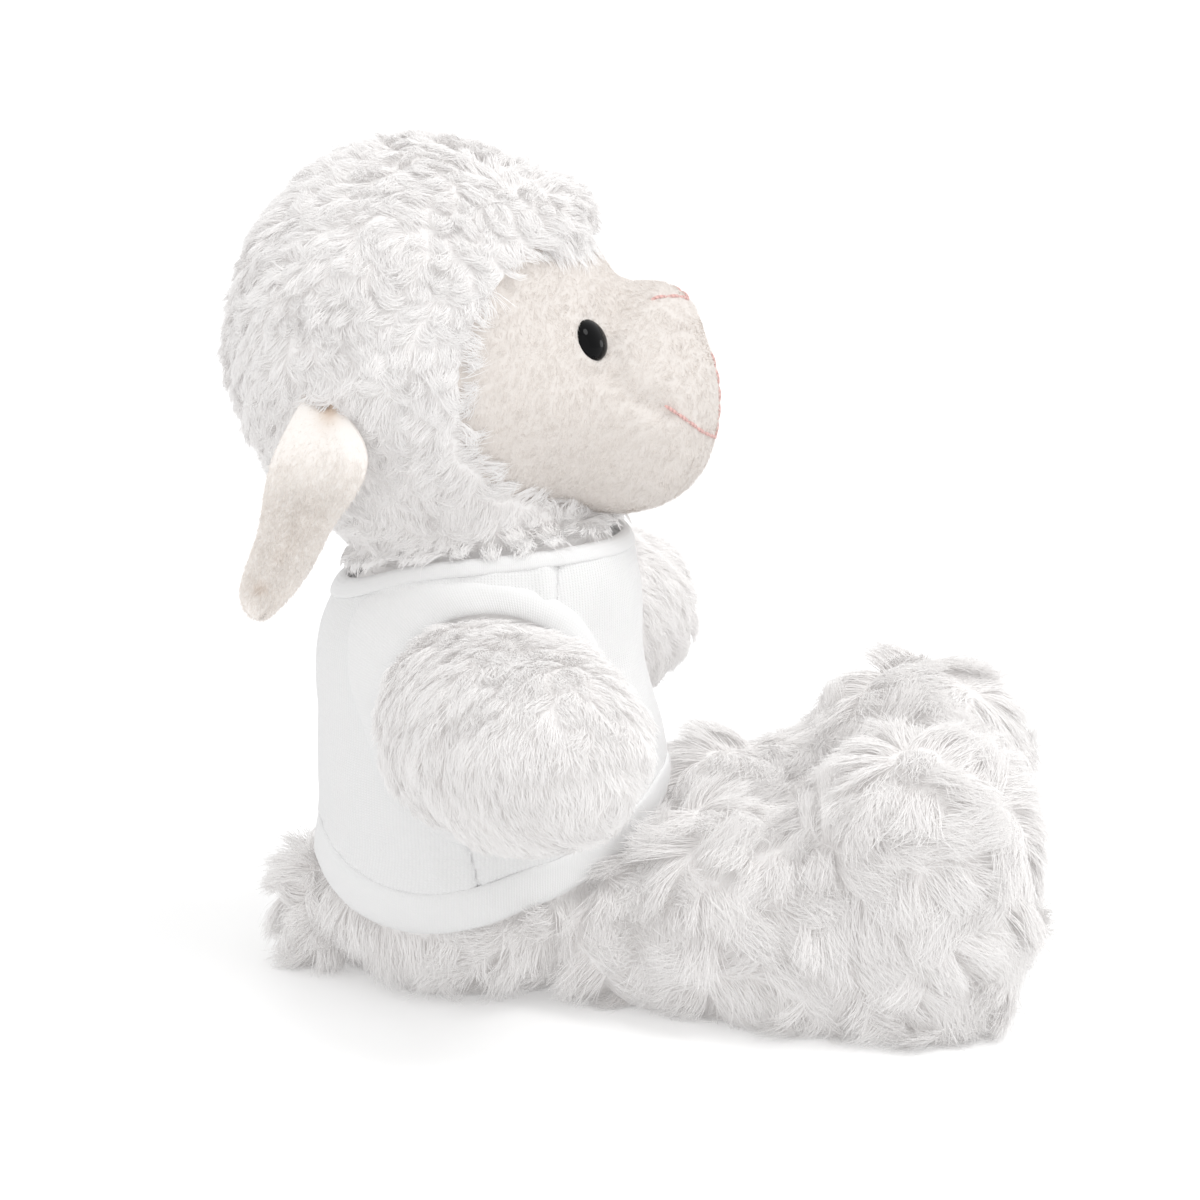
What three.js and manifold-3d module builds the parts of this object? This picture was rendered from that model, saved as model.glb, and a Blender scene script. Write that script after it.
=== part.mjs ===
// Seated plush lamb in a sleeveless tee.
// Millimetres, +Z up. The lamb looks along -Y, its right side is -X, and the origin is the middle of the
// flat patch that it sits on. Y is written as "back" (+) and its negative as "forward".
import * as THREE from 'three';
import { mergeVertices } from 'three/addons/utils/BufferGeometryUtils.js';
import Module from 'manifold-3d';

const wasm = await Module();
wasm.setup();

// Clearances: touching cloth, filling under cloth, a ball turning in its hollow, and the overrun of a cut
const clothGap = 0.3;
const fillingGap = 0.5;
const swingGap = 0.9;
const overrun = 5;

// How softly two lumps of filling run into each other, and the step that finds a surface's direction
const softness = 3;
const probe = 0.02;

// Thickness of each cloth, pile included
const pile = { body: 4.5, head: 5.5, limb: 4.5, tail: 2.5 };
const cloth = { tee: 1.3, band: 1.9, face: 2.2, ear: 1.5 };

// Torso lumps, measured over the tee: half sizes, height above the seat, and how far forward
const belly = { halfWidth: 43, halfDepth: 40.5, halfHeight: 42, height: 50, forward: 1 };
const haunch = { halfWidth: 43, halfDepth: 38.5, halfHeight: 27, height: 24, forward: -2.5 };
const chest = { halfWidth: 38, halfDepth: 36.5, halfHeight: 32, height: 74, forward: -3.5 };
const throat = { halfWidth: 34.5, halfDepth: 33.5, halfHeight: 34, height: 92, forward: 1.5 };

// The tee's edges seen from the side: shares of the belly's half depth (back is +) and of the tee's height
const teeHeight = 106.5;
const hemShares = [
  [1.25, 0.34], [1, 0.28], [0.73, 0.216], [0.37, 0.187], [0, 0.207], [-0.27, 0.24],
  [-0.58, 0.28], [-0.88, 0.345], [-1.03, 0.4], [-1.3, 0.5],
];
const collarShares = [
  [1.25, 0.85], [0.85, 0.89], [0.37, 0.965], [-0.15, 0.995], [-0.7, 1], [-1.25, 0.97],
];
const band = { neck: 3.6, hem: 9.5, armhole: 7.6, armholeBack: 5, armholeDrop: 2.8 };
const sideSeamBackShare = 0.03;
const shoulderSeamForwardShare = 0.46;

// Seat bag of pellets
const pouch = { halfWidth: 27, halfDepth: 21, halfHeight: 12, height: 12, back: 5 };

// Arms: their balls, how far the root's middle stands off the tee, and the direction of each arm
const arm = {
  rootRadius: 22, middleRadius: 23.2, tipRadius: 19, length: 40, height: 70.5, ahead: 3, standOff: 7,
};
const armForwardAngle = { right: THREE.MathUtils.degToRad(28), left: THREE.MathUtils.degToRad(33) };
const armRiseAngle = { right: THREE.MathUtils.degToRad(5), left: THREE.MathUtils.degToRad(-3) };
const armMiddleShare = 0.55;

// Legs: the hip ball, then the lumps of the thigh, shin, heel and upright foot
const hip = { radius: 15, apart: 24, forward: 34, height: 16.5 };
const thigh = { halfWidth: 20.5, halfLength: 18, halfHeight: 20.5, apart: 29, ahead: 24, height: 21 };
const shin = { halfWidth: 22, halfLength: 24, halfHeight: 22, apart: 33, ahead: 44, height: 23 };
const heel = { halfWidth: 23, halfLength: 25, halfHeight: 23.5, apart: 35.5, ahead: 66, height: 22.3 };
const foot = { halfWidth: 23, halfLength: 21, halfHeight: 21, apart: 36, ahead: 69, height: 43.5 };

// Tail: a tuft hung from a small root
const tail = { rootRadius: 5, halfWidth: 10, halfDepth: 7.5, halfHeight: 11, drop: 6, rootHeight: 20 };

// Neck: the ball of the head's throat turns in the collar about this point above the tee's height
const neckRise = 5.5;
const collarGap = 2.7;
const rimDrop = 3.5;
const neckBack = 3;
const plug = { radius: 15, stemRadius: 9.8, nodSpread: THREE.MathUtils.degToRad(14) };

// Head lumps, placed from the neck's turning point
const skull = { halfWidth: 46.5, halfDepth: 43, halfHeight: 46, up: 37.5, back: 12.6 };
const cheeks = { halfWidth: 40, halfDepth: 35, halfHeight: 31, up: 29, back: -1.5 };
const brow = { halfWidth: 28, halfDepth: 27, halfHeight: 22, up: 47, back: -4 };
const muzzle = { halfWidth: 24, halfDepth: 20.5, halfHeight: 22, up: 25.5, back: -35.5 };
const chin = { halfWidth: 20, halfDepth: 19.5, halfHeight: 14.5, up: 13.5, back: -33 };
const snub = { halfWidth: 12, halfDepth: 8.5, halfHeight: 8, up: 42.5, back: -41.5 };

// The face's window in the fur, an oval seen from the side, and how deep the face's cloth lies under the fur
const faceWindow = { halfDepth: 31, halfHeight: 33, up: 34, back: -33 };
const faceInset = 2.8;

// Eyes, and where they sit on the cheeks as shares of the cheeks' half sizes
const eye = { radius: 5, dome: 4.2, rim: 0.7, sunk: 0.9, shankRadius: 1.5, shankLength: 9 };
const washer = { radius: 6, thickness: 1.5, behind: 5.2 };
const eyeAcrossShare = 0.56;
const eyeUpShare = 0.42;
const eyeSideShare = 0.6;

// Pink thread, and its routes over the muzzle as directions in shares of the muzzle's half sizes
const threadRadius = 0.75;
const threadLift = 0.2;
const noseRouteShares = [
  [-0.37, -0.26, 1], [-0.23, -0.47, 1], [0, -0.68, 1], [0.23, -0.47, 1], [0.37, -0.26, 1],
];
const mouthRouteShares = [
  [-0.86, -0.45, 0.06], [-0.5, -0.8, -0.26], [0, -1, -0.46], [0.5, -0.8, -0.26], [0.86, -0.45, 0.06],
];
const philtrumRouteShares = [[0, -1, -0.46], [0, -1.1, 0.1], [0, -1, 0.5]];

// Ears: length, root and widest width, and the places of the root on the skull in shares of its half sizes
const ear = { length: 47.5, rootWidth: 9, width: 21.5, tipWidth: 16, cup: 4.5, stem: 0.9, sunk: 1.5 };
const earBackShare = 0.27;
const earDropShare = 0.18;
const earSwayBackShare = 0.27;
const earSwayOutShare = 0.19;
const earWidestShare = 0.36;
const earTipRoundShare = 0.8;
const earCupFadeShare = 0.6;

const colours = {
  fur: 0xefedec, face: 0xf1e9e2, filling: 0xf7f6f2, tee: 0xf6f6f6, lining: 0xf0e4da,
  eye: 0x0b0b0c, washer: 0xe8e8e4, thread: 0xf0b2ae, pouch: 0xd8d2c4,
};

const right = -1;
const left = 1;
const vector = (x, y, z) => new THREE.Vector3(x, y, z);
const upward = vector(0, 0, 1);
const forward = vector(0, -1, 0);
const sideways = vector(1, 0, 0);

// Soft forms

/** A rounded lump of filling with its middle and half sizes. */
const lump = (middle, halfWidth, halfDepth, halfHeight) => (
  { middle, half: vector(halfWidth, halfDepth, halfHeight) });

/** Roughly how far a point lies outside a lump. */
function lumpDistance({ middle, half }, point) {
  const offset = point.clone().sub(middle);
  const near = offset.clone().divide(half).length();
  if (near === 0) return -Math.min(half.x, half.y, half.z);
  return near * (near - 1) / offset.divide(half).divide(half).length();
}

/** The smooth skin round several lumps, as a distance function. */
function form(...lumps) {
  return (point) => {
    let sum = 0;
    for (const each of lumps) sum += Math.exp(-lumpDistance(each, point) / softness);
    return -softness * Math.log(sum);
  };
}

/** Where a ray from inside a form leaves it, the form swollen by a given thickness. */
function surfacePoint(shape, start, direction, reach, swell = 0) {
  let [inside, outside] = [0, reach];
  for (let step = 0; step < 26; step += 1) {
    const middle = (inside + outside) / 2;
    if (shape(start.clone().addScaledVector(direction, middle)) < swell) inside = middle;
    else outside = middle;
  }
  return start.clone().addScaledVector(direction, inside);
}

/** The direction straight out of a form at a point. */
function outwardAt(shape, point) {
  const slope = (axis) => shape(point.clone().addScaledVector(axis, probe))
    - shape(point.clone().addScaledVector(axis, -probe));
  return vector(slope(sideways), slope(vector(0, 1, 0)), slope(upward)).normalize();
}

/** Closed rings of points between two end points, as a geometry. */
function ringGeometry(start, rings, end) {
  const sides = rings[0].length;
  const points = [start, ...rings.flat(), end];
  const faces = [];
  const at = (ring, side) => 1 + ring * sides + (side % sides);
  for (let side = 0; side < sides; side += 1) {
    faces.push(0, at(0, side + 1), at(0, side));
    faces.push(points.length - 1, at(rings.length - 1, side), at(rings.length - 1, side + 1));
    for (let ring = 0; ring < rings.length - 1; ring += 1) {
      faces.push(at(ring, side), at(ring, side + 1), at(ring + 1, side + 1));
      faces.push(at(ring, side), at(ring + 1, side + 1), at(ring + 1, side));
    }
  }
  const geometry = new THREE.BufferGeometry().setFromPoints(points);
  geometry.setIndex(faces);
  return geometry;
}

/**
 * A stuffed solid: rays go out from a spine to the form's skin, fanned at both ends.
 * Reference is a direction that the spine never runs along.
 */
function stuffed(shape, spine, { sides, steps, fan, reference = sideways, reach }, swell = 0) {
  const frames = Array.from({ length: steps + 1 }, (_, step) => {
    const along = spine.getTangent(step / steps);
    const across = reference.clone().addScaledVector(along, -reference.dot(along)).normalize();
    return { middle: spine.getPoint(step / steps), along, across, over: along.clone().cross(across) };
  });
  const ring = ({ middle, along, across, over }, lean) => Array.from({ length: sides }, (_, side) => {
    const turn = side / sides * 2 * Math.PI;
    const out = across.clone().multiplyScalar(Math.cos(turn)).addScaledVector(over, Math.sin(turn));
    const ray = out.multiplyScalar(Math.cos(lean)).addScaledVector(along, Math.sin(lean));
    return surfacePoint(shape, middle, ray, reach, swell);
  });
  const leans = Array.from({ length: fan - 1 }, (_, index) => (index + 1) / fan * Math.PI / 2);
  const first = frames[0];
  const last = frames[frames.length - 1];
  const rings = [
    ...leans.toReversed().map((lean) => ring(first, -lean)),
    ...frames.map((frame) => ring(frame, 0)),
    ...leans.map((lean) => ring(last, lean)),
  ];
  const start = surfacePoint(shape, first.middle, first.along.clone().negate(), reach, swell);
  const end = surfacePoint(shape, last.middle, last.along, reach, swell);
  return solid(ringGeometry(start, rings, end));
}

// Solids

/** A closed geometry as a solid that can be joined and cut. */
function solid(geometry) {
  const bare = geometry.clone();
  bare.deleteAttribute('normal');
  bare.deleteAttribute('uv');
  const merged = mergeVertices(bare);
  const mesh = new wasm.Mesh({
    numProp: 3,
    vertProperties: Float32Array.from(merged.getAttribute('position').array),
    triVerts: Uint32Array.from(merged.index.array),
  });
  return new wasm.Manifold(mesh);
}

/** A solid with several others cut out of it. */
const cutBy = (whole, cutters) => cutters.reduce((rest, each) => rest.subtract(each), whole);

/** A named mesh made from a solid or a geometry. */
function piece(name, shape, colour, roughness = 0.95) {
  let geometry = shape;
  if (!(shape instanceof THREE.BufferGeometry)) {
    const { vertProperties, triVerts } = shape.getMesh();
    geometry = new THREE.BufferGeometry();
    geometry.setAttribute('position', new THREE.BufferAttribute(vertProperties, 3));
    geometry.setIndex(new THREE.BufferAttribute(triVerts, 1));
  }
  geometry.computeVertexNormals();
  const material = new THREE.MeshStandardMaterial({ color: colour, roughness, metalness: 0 });
  const mesh = new THREE.Mesh(geometry, material);
  mesh.name = name;
  return mesh;
}

const ball = (middle, radius, sides = 16) => solid(
  new THREE.SphereGeometry(radius, sides, sides / 2).translate(middle.x, middle.y, middle.z));

/** Turns a geometry that stands on Y so that it points along a direction from a point. */
function aimed(geometry, at, direction) {
  const turn = new THREE.Quaternion().setFromUnitVectors(vector(0, 1, 0), direction);
  return geometry.applyQuaternion(turn).translate(at.x, at.y, at.z);
}

/** A round bar, or a cone, between two points. */
function bar(start, end, startRadius, endRadius = startRadius, sides = 16) {
  const direction = end.clone().sub(start);
  const length = direction.length();
  const geometry = new THREE.CylinderGeometry(endRadius, startRadius, length, sides);
  geometry.translate(0, length / 2, 0);
  return solid(aimed(geometry, start, direction.normalize()));
}

/** A block that fills the space between two corners. */
function block(low, high) {
  const size = high.clone().sub(low);
  const middle = low.clone().add(high).divideScalar(2);
  return solid(new THREE.BoxGeometry(size.x, size.y, size.z).translate(middle.x, middle.y, middle.z));
}

/** A slab right across the toy whose outline is drawn in the side view, from points of [back, up]. */
function sideSlab(outline) {
  const depth = 2 * worldReach;
  const slab = new THREE.ExtrudeGeometry(
    new THREE.Shape(outline.map(([back, up]) => new THREE.Vector2(back, up))),
    { depth, bevelEnabled: false });
  const turned = new THREE.Matrix4().makeBasis(vector(0, 1, 0), upward, sideways);
  return solid(slab.applyMatrix4(turned).translate(-depth / 2, 0, 0));
}

// Torso forms and the tee's edges

const torsoLump = ({ halfWidth, halfDepth, halfHeight, height, forward: ahead }) => (
  lump(vector(0, -ahead, height), halfWidth, halfDepth, halfHeight));
const torsoForm = form(torsoLump(belly), torsoLump(haunch), torsoLump(chest), torsoLump(throat));
const worldReach = 2 * (belly.halfWidth + belly.halfDepth);
const torsoSpine = new THREE.LineCurve3(
  vector(0, -haunch.forward, haunch.height), vector(0, -throat.forward, throat.height));
const torsoGrid = { sides: 20, steps: 5, fan: 3, reach: worldReach };
const torsoAt = (swell) => stuffed(torsoForm, torsoSpine, torsoGrid, swell);

const bodySwell = -(cloth.tee + clothGap);
const fillingSwell = bodySwell - pile.body - fillingGap;
const onTorso = (start, direction, swell = 0) => surfacePoint(torsoForm, start, direction, worldReach, swell);

/** An edge of the tee as [back, up] points, smoothed, raised or lowered by a given height. */
function teeEdge(shares, raise = 0) {
  const spline = new THREE.SplineCurve(shares.map(([back, up]) => (
    new THREE.Vector2(back * belly.halfDepth, up * teeHeight))));
  return spline.getPoints(2 * shares.length).map(({ x, y }) => [x, y + raise]);
}

/** The slab between two edges of the tee, each a list of [back, up] points. */
const between = (lower, upper) => sideSlab([...lower, ...upper.toReversed()]);
const aboveTee = [[worldReach, worldReach], [-worldReach, worldReach]];

// Shoulders, hips, tail and neck: the points that the limbs turn about

function shoulderPoint(side) {
  const out = onTorso(vector(0, -arm.ahead, arm.height), vector(side, 0, 0));
  return out.add(vector(side * arm.standOff, 0, 0));
}

function armDirection(side) {
  const name = side === right ? 'right' : 'left';
  const turn = armForwardAngle[name];
  return vector(side * Math.cos(turn), -Math.sin(turn), Math.tan(armRiseAngle[name])).normalize();
}

const hipPoint = (side) => vector(side * hip.apart, -hip.forward, hip.height);
const tailPoint = onTorso(vector(0, 0, tail.rootHeight), vector(0, 1, 0), bodySwell);
const neckPoint = vector(0, neckBack, teeHeight + neckRise);

/** The radius of the ball round the neck's turning point that clears the inside edge of the collar. */
function neckRadius() {
  const edge = teeEdge(collarShares).map(([back, up]) => vector(0, back, up))
    .filter((middle) => torsoForm(middle) < -cloth.tee)
    .map((middle) => onTorso(middle, sideways, -cloth.tee).distanceTo(neckPoint));
  return Math.min(...edge) - collarGap;
}

const throatRadius = neckRadius();
const neckBowl = ball(neckPoint, throatRadius + swingGap, 20);

// Limb forms

function armForm(side) {
  const root = shoulderPoint(side);
  const direction = armDirection(side);
  const round = (share, radius) => lump(
    root.clone().addScaledVector(direction, share * arm.length), radius, radius, radius);
  return form(round(0, arm.rootRadius), round(armMiddleShare, arm.middleRadius), round(1, arm.tipRadius));
}

function armSpine(side) {
  const root = shoulderPoint(side);
  return new THREE.LineCurve3(root, root.clone().addScaledVector(armDirection(side), arm.length));
}

const legLump = (side, { halfWidth, halfLength, halfHeight, apart, ahead, height }) => (
  lump(vector(side * apart, -hip.forward - ahead, height), halfWidth, halfLength, halfHeight));

function legForm(side) {
  const root = lump(hipPoint(side), hip.radius, hip.radius, hip.radius);
  return form(root, ...[thigh, shin, heel, foot].map((each) => legLump(side, each)));
}

/** The line inside a leg: forward from the hip, then up round the heel into the foot. */
function legSpine(side) {
  const shinMiddle = legLump(side, shin).middle;
  const footMiddle = legLump(side, foot).middle;
  const bend = vector(footMiddle.x, footMiddle.y, shinMiddle.z);
  const path = new THREE.CurvePath();
  path.add(new THREE.LineCurve3(hipPoint(side), shinMiddle));
  path.add(new THREE.QuadraticBezierCurve3(shinMiddle, bend, footMiddle));
  return path;
}

const tailForm = form(
  lump(tailPoint, tail.rootRadius, tail.rootRadius, tail.rootRadius),
  lump(vector(0, tailPoint.y, tail.rootHeight - tail.drop), tail.halfWidth, tail.halfDepth, tail.halfHeight));
const tailSpine = new THREE.LineCurve3(vector(0, tailPoint.y, tail.rootHeight - tail.drop), tailPoint);

const armGrid = { sides: 12, steps: 2, fan: 4, reference: upward, reach: worldReach };
const legGrid = { sides: 12, steps: 8, fan: 3, reach: worldReach };
const tailGrid = { sides: 12, steps: 2, fan: 3, reach: worldReach };

// Head forms

const headLump = ({ halfWidth, halfDepth, halfHeight, up, back }) => (
  lump(neckPoint.clone().add(vector(0, back, up)), halfWidth, halfDepth, halfHeight));
const headForm = form(headLump(skull), lump(neckPoint, throatRadius, throatRadius, throatRadius));
const faceLumps = [cheeks, brow, muzzle, chin, snub].map(headLump);
const faceForm = form(...faceLumps, lump(headLump(skull).middle,
  skull.halfWidth - faceInset, skull.halfDepth - faceInset, skull.halfHeight - faceInset));
const headSpine = new THREE.LineCurve3(neckPoint, headLump(skull).middle);
const faceSpine = new THREE.LineCurve3(headLump(cheeks).middle, headLump(muzzle).middle);
const headGrid = { sides: 20, steps: 2, fan: 5, reach: worldReach };
const faceGrid = { sides: 22, steps: 3, fan: 6, reach: worldReach };
const headAt = (swell) => stuffed(headForm, headSpine, headGrid, swell);
const faceAt = (swell) => stuffed(faceForm, faceSpine, faceGrid, swell);

/** Everything in front of the window's edge, the edge drawn in by a gap. */
function windowCut(gap = 0) {
  const { middle, half } = headLump(faceWindow);
  const arcSteps = 14;
  const arc = Array.from({ length: arcSteps + 1 }, (_, step) => {
    const turn = (step / arcSteps - 0.5) * Math.PI;
    return [middle.y + (half.y - gap) * Math.cos(turn), middle.z + (half.z - gap) * Math.sin(turn)];
  });
  return sideSlab([...arc, [-worldReach, middle.z + half.z - gap], [-worldReach, middle.z - half.z + gap]]);
}

// Pieces

/** Everything that the torso's pieces leave room for: neck, arms, legs and tail. */
function torsoHollows() {
  const limbs = [right, left].flatMap((side) => [
    ball(shoulderPoint(side), arm.rootRadius + swingGap),
    ball(hipPoint(side), hip.radius + swingGap),
  ]);
  const tuft = stuffed(tailForm, tailSpine, tailGrid, swingGap);
  const root = ball(tailPoint, tail.rootRadius + swingGap, 16);
  return [neckBowl, tuft, root, ...limbs].reduce((all, each) => all.add(each));
}

/** Everything below a height. */
const belowHeight = (height) => block(
  vector(-worldReach, -worldReach, -worldReach), vector(worldReach, worldReach, height));
const floorCut = belowHeight(0);

function torsoPieces() {
  const hollows = torsoHollows();
  const aboveRim = between(teeEdge(collarShares, -rimDrop), aboveTee);
  const outer = torsoAt(bodySwell).subtract(floorCut);
  const inner = torsoAt(bodySwell - pile.body).subtract(belowHeight(pile.body));
  const filling = torsoAt(fillingSwell).subtract(belowHeight(pile.body + clothGap));
  const pouchAt = (swell) => stuffed(
    form(lump(vector(0, pouch.back, pouch.height), pouch.halfWidth, pouch.halfDepth, pouch.halfHeight)),
    new THREE.LineCurve3(vector(0, pouch.back, pouch.height - pouch.halfHeight / 3),
      vector(0, pouch.back, pouch.height + pouch.halfHeight / 3)),
    { sides: 18, steps: 1, fan: 4, reach: worldReach }, swell);
  return [
    piece('body_skin', cutBy(outer, [inner, hollows, aboveRim]), colours.fur),
    piece('body_stuffing', filling.subtract(pouchAt(clothGap)).subtract(hollows), colours.filling),
    piece('bean_pouch', filling.intersect(pouchAt(0)).subtract(hollows), colours.pouch),
  ];
}

/** The cylinder through the tee at an armhole, on one side only. */
function armholeCut(side, radius, back = 0, drop = 0) {
  const at = shoulderPoint(side);
  const start = vector(side * clothGap, at.y + back, at.z - drop);
  return bar(start, start.clone().add(vector(side * worldReach, 0, 0)), radius, radius, 22);
}

function teePieces() {
  const panel = torsoAt(0).subtract(torsoAt(-cloth.tee));
  const thick = torsoAt(cloth.band - cloth.tee).subtract(torsoAt(-cloth.tee));
  const holeRadius = arm.rootRadius + swingGap;
  const bandRadius = holeRadius + band.armhole;
  const bandCut = (side, gap) => armholeCut(side, bandRadius + gap, band.armholeBack, band.armholeDrop);
  const holes = armholeCut(right, holeRadius).add(armholeCut(left, holeRadius));
  const bands = bandCut(right, clothGap).add(bandCut(left, clothGap));

  const panelBody = panel.intersect(
    between(teeEdge(hemShares, band.hem + clothGap), teeEdge(collarShares, -band.neck - clothGap)),
  ).subtract(bands);
  const sideSeam = sideSeamBackShare * belly.halfDepth;
  const shoulderSeam = -shoulderSeamForwardShare * belly.halfDepth;
  const splitAt = (gap) => sideSlab([
    [-worldReach, -worldReach], [sideSeam - gap, -worldReach], [sideSeam - gap, arm.height],
    [shoulderSeam - gap, arm.height], [shoulderSeam - gap, worldReach], [-worldReach, worldReach]]);
  const neckBand = thick.intersect(between(teeEdge(collarShares, -band.neck), teeEdge(collarShares)));
  const hemBand = thick.intersect(between(teeEdge(hemShares), teeEdge(hemShares, band.hem)));
  const neckBandRoom = between(teeEdge(collarShares, -band.neck - clothGap), aboveTee);
  const armholeBand = (side) => thick.intersect(bandCut(side, 0)).subtract(holes).subtract(neckBandRoom);
  return [
    piece('tee_front', panelBody.intersect(splitAt(clothGap)), colours.tee),
    piece('tee_back', panelBody.subtract(splitAt(0)), colours.tee),
    piece('tee_neck_band', neckBand, colours.tee),
    piece('tee_hem_band', hemBand, colours.tee),
    piece('tee_right_armhole_band', armholeBand(right), colours.tee),
    piece('tee_left_armhole_band', armholeBand(left), colours.tee),
  ];
}

/** A limb's skin and filling, both open towards the body at the limb's own ball. */
function limbPieces(name, shape, spine, grid, root, rootRadius, thickness) {
  const outer = stuffed(shape, spine, grid).subtract(floorCut);
  const inner = stuffed(shape, spine, grid, -thickness);
  const throughRoot = bar(
    root, root.clone().addScaledVector(spine.getTangent(0), -rootRadius - overrun), rootRadius - thickness);
  const filling = stuffed(shape, spine, grid, -thickness - fillingGap);
  const rootFilling = bar(
    root, root.clone().addScaledVector(spine.getTangent(0), -rootRadius - overrun),
    rootRadius - thickness - clothGap).intersect(ball(root, rootRadius));
  return [
    piece(`${name}_skin`, outer.subtract(inner).subtract(throughRoot), colours.fur),
    piece(`${name}_stuffing`, filling.add(rootFilling).subtract(
      belowHeight(thickness + clothGap)), colours.filling),
  ];
}

function armPieces(side, name) {
  return limbPieces(`${name}_arm`, armForm(side), armSpine(side), armGrid,
    shoulderPoint(side), arm.rootRadius, pile.limb);
}

function legPieces(side, name) {
  return limbPieces(`${name}_leg`, legForm(side), legSpine(side), legGrid,
    hipPoint(side), hip.radius, pile.limb);
}

function tailPieces() {
  const outer = stuffed(tailForm, tailSpine, tailGrid).subtract(floorCut);
  const inner = stuffed(tailForm, tailSpine, tailGrid, -pile.tail);
  const mouth = bar(tailPoint, tailPoint.clone().add(vector(0, -tail.halfDepth - overrun, 0)),
    tail.rootRadius - pile.tail, tail.rootRadius - pile.tail, 12);
  return [
    piece('tail_skin', outer.subtract(inner).subtract(mouth), colours.fur),
    piece('tail_stuffing', stuffed(tailForm, tailSpine, tailGrid, -pile.tail - fillingGap), colours.filling),
  ];
}

/** The plug of filling in the neck, or the room that it needs in the head, swollen by a gap. */
function neckPlug(gap, spread) {
  const below = (distance) => neckPoint.clone().add(vector(0, 0, -distance));
  const radiusAt = (distance) => distance * Math.sin(Math.asin(plug.stemRadius / distance) + spread) + gap;
  const stem = bar(below(plug.radius * Math.SQRT1_2), below(throatRadius + overrun),
    radiusAt(plug.radius), radiusAt(throatRadius));
  return ball(neckPoint, plug.radius + gap).add(stem);
}

/** Where an eye sits, and the direction that it looks. */
function eyePlace(side) {
  const { middle, half } = headLump(cheeks);
  const start = middle.clone().add(vector(side * eyeAcrossShare * half.x, 0, eyeUpShare * half.z));
  const at = surfacePoint(faceForm, start, forward, worldReach);
  const out = outwardAt(faceForm, at);
  out.x *= eyeSideShare;
  return { at, out: out.normalize() };
}

const along = ({ at, out }, distance) => at.clone().addScaledVector(out, distance);

function eyeGeometry(side) {
  const profile = [new THREE.Vector2(0, -eye.shankLength), new THREE.Vector2(eye.shankRadius, -eye.shankLength),
    new THREE.Vector2(eye.shankRadius, 0)];
  const domeSteps = 4;
  for (let step = 0; step <= domeSteps; step += 1) {
    const turn = step / domeSteps * Math.PI / 2;
    profile.push(new THREE.Vector2(
      step === domeSteps ? 0 : eye.radius * Math.cos(turn), eye.rim + (eye.dome - eye.rim) * Math.sin(turn)));
  }
  profile.splice(3, 0, new THREE.Vector2(eye.radius, 0));
  const place = eyePlace(side);
  return aimed(new THREE.LatheGeometry(profile, 16), along(place, -eye.sunk), place.out);
}

function washerGeometry(side) {
  const inner = eye.shankRadius + clothGap;
  const profile = [[inner, 0], [washer.radius, 0], [washer.radius, washer.thickness], [inner, washer.thickness],
    [inner, 0]].map(([radius, height]) => new THREE.Vector2(radius, height));
  const place = eyePlace(side);
  return aimed(new THREE.LatheGeometry(profile, 12), along(place, -washer.behind - washer.thickness), place.out);
}

/** A thread laid over the muzzle along directions from its middle. */
function thread(routeShares, steps) {
  const { middle, half } = headLump(muzzle);
  const points = routeShares.map(([across, back, up]) => {
    const direction = vector(across * half.x, back * half.y, up * half.z).normalize();
    const at = surfacePoint(faceForm, middle, direction, worldReach);
    return at.addScaledVector(outwardAt(faceForm, at), threadRadius + threadLift);
  });
  const section = new THREE.Shape().absarc(0, 0, threadRadius, 0, 2 * Math.PI);
  return solid(new THREE.ExtrudeGeometry(section, {
    extrudePath: new THREE.CatmullRomCurve3(points), steps, curveSegments: 3,
  })).subtract(faceAt(clothGap));
}

function headPieces() {
  const outer = headAt(0);
  const inner = headAt(-pile.head);
  const neckRoom = neckPlug(swingGap, plug.nodSpread);
  const eyes = [right, left].map(eyePlace);
  const eyeHole = (place, depth, radius) => bar(
    along(place, -depth - clothGap), along(place, eye.dome + overrun), radius + clothGap);
  const eyeSeats = eyes.map((place) => eyeHole(place, eye.sunk, eye.radius));
  const shankHoles = eyes.map((place) => eyeHole(place, eye.sunk + eye.shankLength, eye.shankRadius));
  const washerRooms = eyes.map((place) => eyeHole(place, washer.behind + washer.thickness, washer.radius));
  const aroundFace = headAt(clothGap).subtract(windowCut(clothGap));
  const facePanel = faceAt(0).subtract(faceAt(-cloth.face)).subtract(aroundFace);
  const faceFilling = faceAt(-cloth.face - fillingGap).subtract(aroundFace);
  const filling = headAt(-pile.head - fillingGap).add(faceFilling).subtract(neckRoom);
  const underFace = stuffed(form(...faceLumps), faceSpine, faceGrid, clothGap);
  return [
    piece('head_skin', cutBy(outer, [inner, windowCut(), underFace, neckRoom]), colours.fur),
    piece('face_panel', cutBy(facePanel, [...eyeSeats, ...shankHoles]), colours.face),
    piece('head_stuffing', cutBy(filling, [...washerRooms, ...shankHoles]), colours.filling),
    piece('neck_stuffing', neckPlug(0, 0).intersect(ball(neckPoint, throatRadius, 20)), colours.filling),
    piece('right_eye', eyeGeometry(right), colours.eye, 0.08),
    piece('left_eye', eyeGeometry(left), colours.eye, 0.08),
    piece('right_eye_washer', washerGeometry(right), colours.washer, 0.5),
    piece('left_eye_washer', washerGeometry(left), colours.washer, 0.5),
    piece('nose_stitching', thread(noseRouteShares, 8), colours.thread, 0.7),
    piece('mouth_stitching', thread(mouthRouteShares, 14).add(thread(philtrumRouteShares, 6)),
      colours.thread, 0.7),
  ];
}

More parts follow.
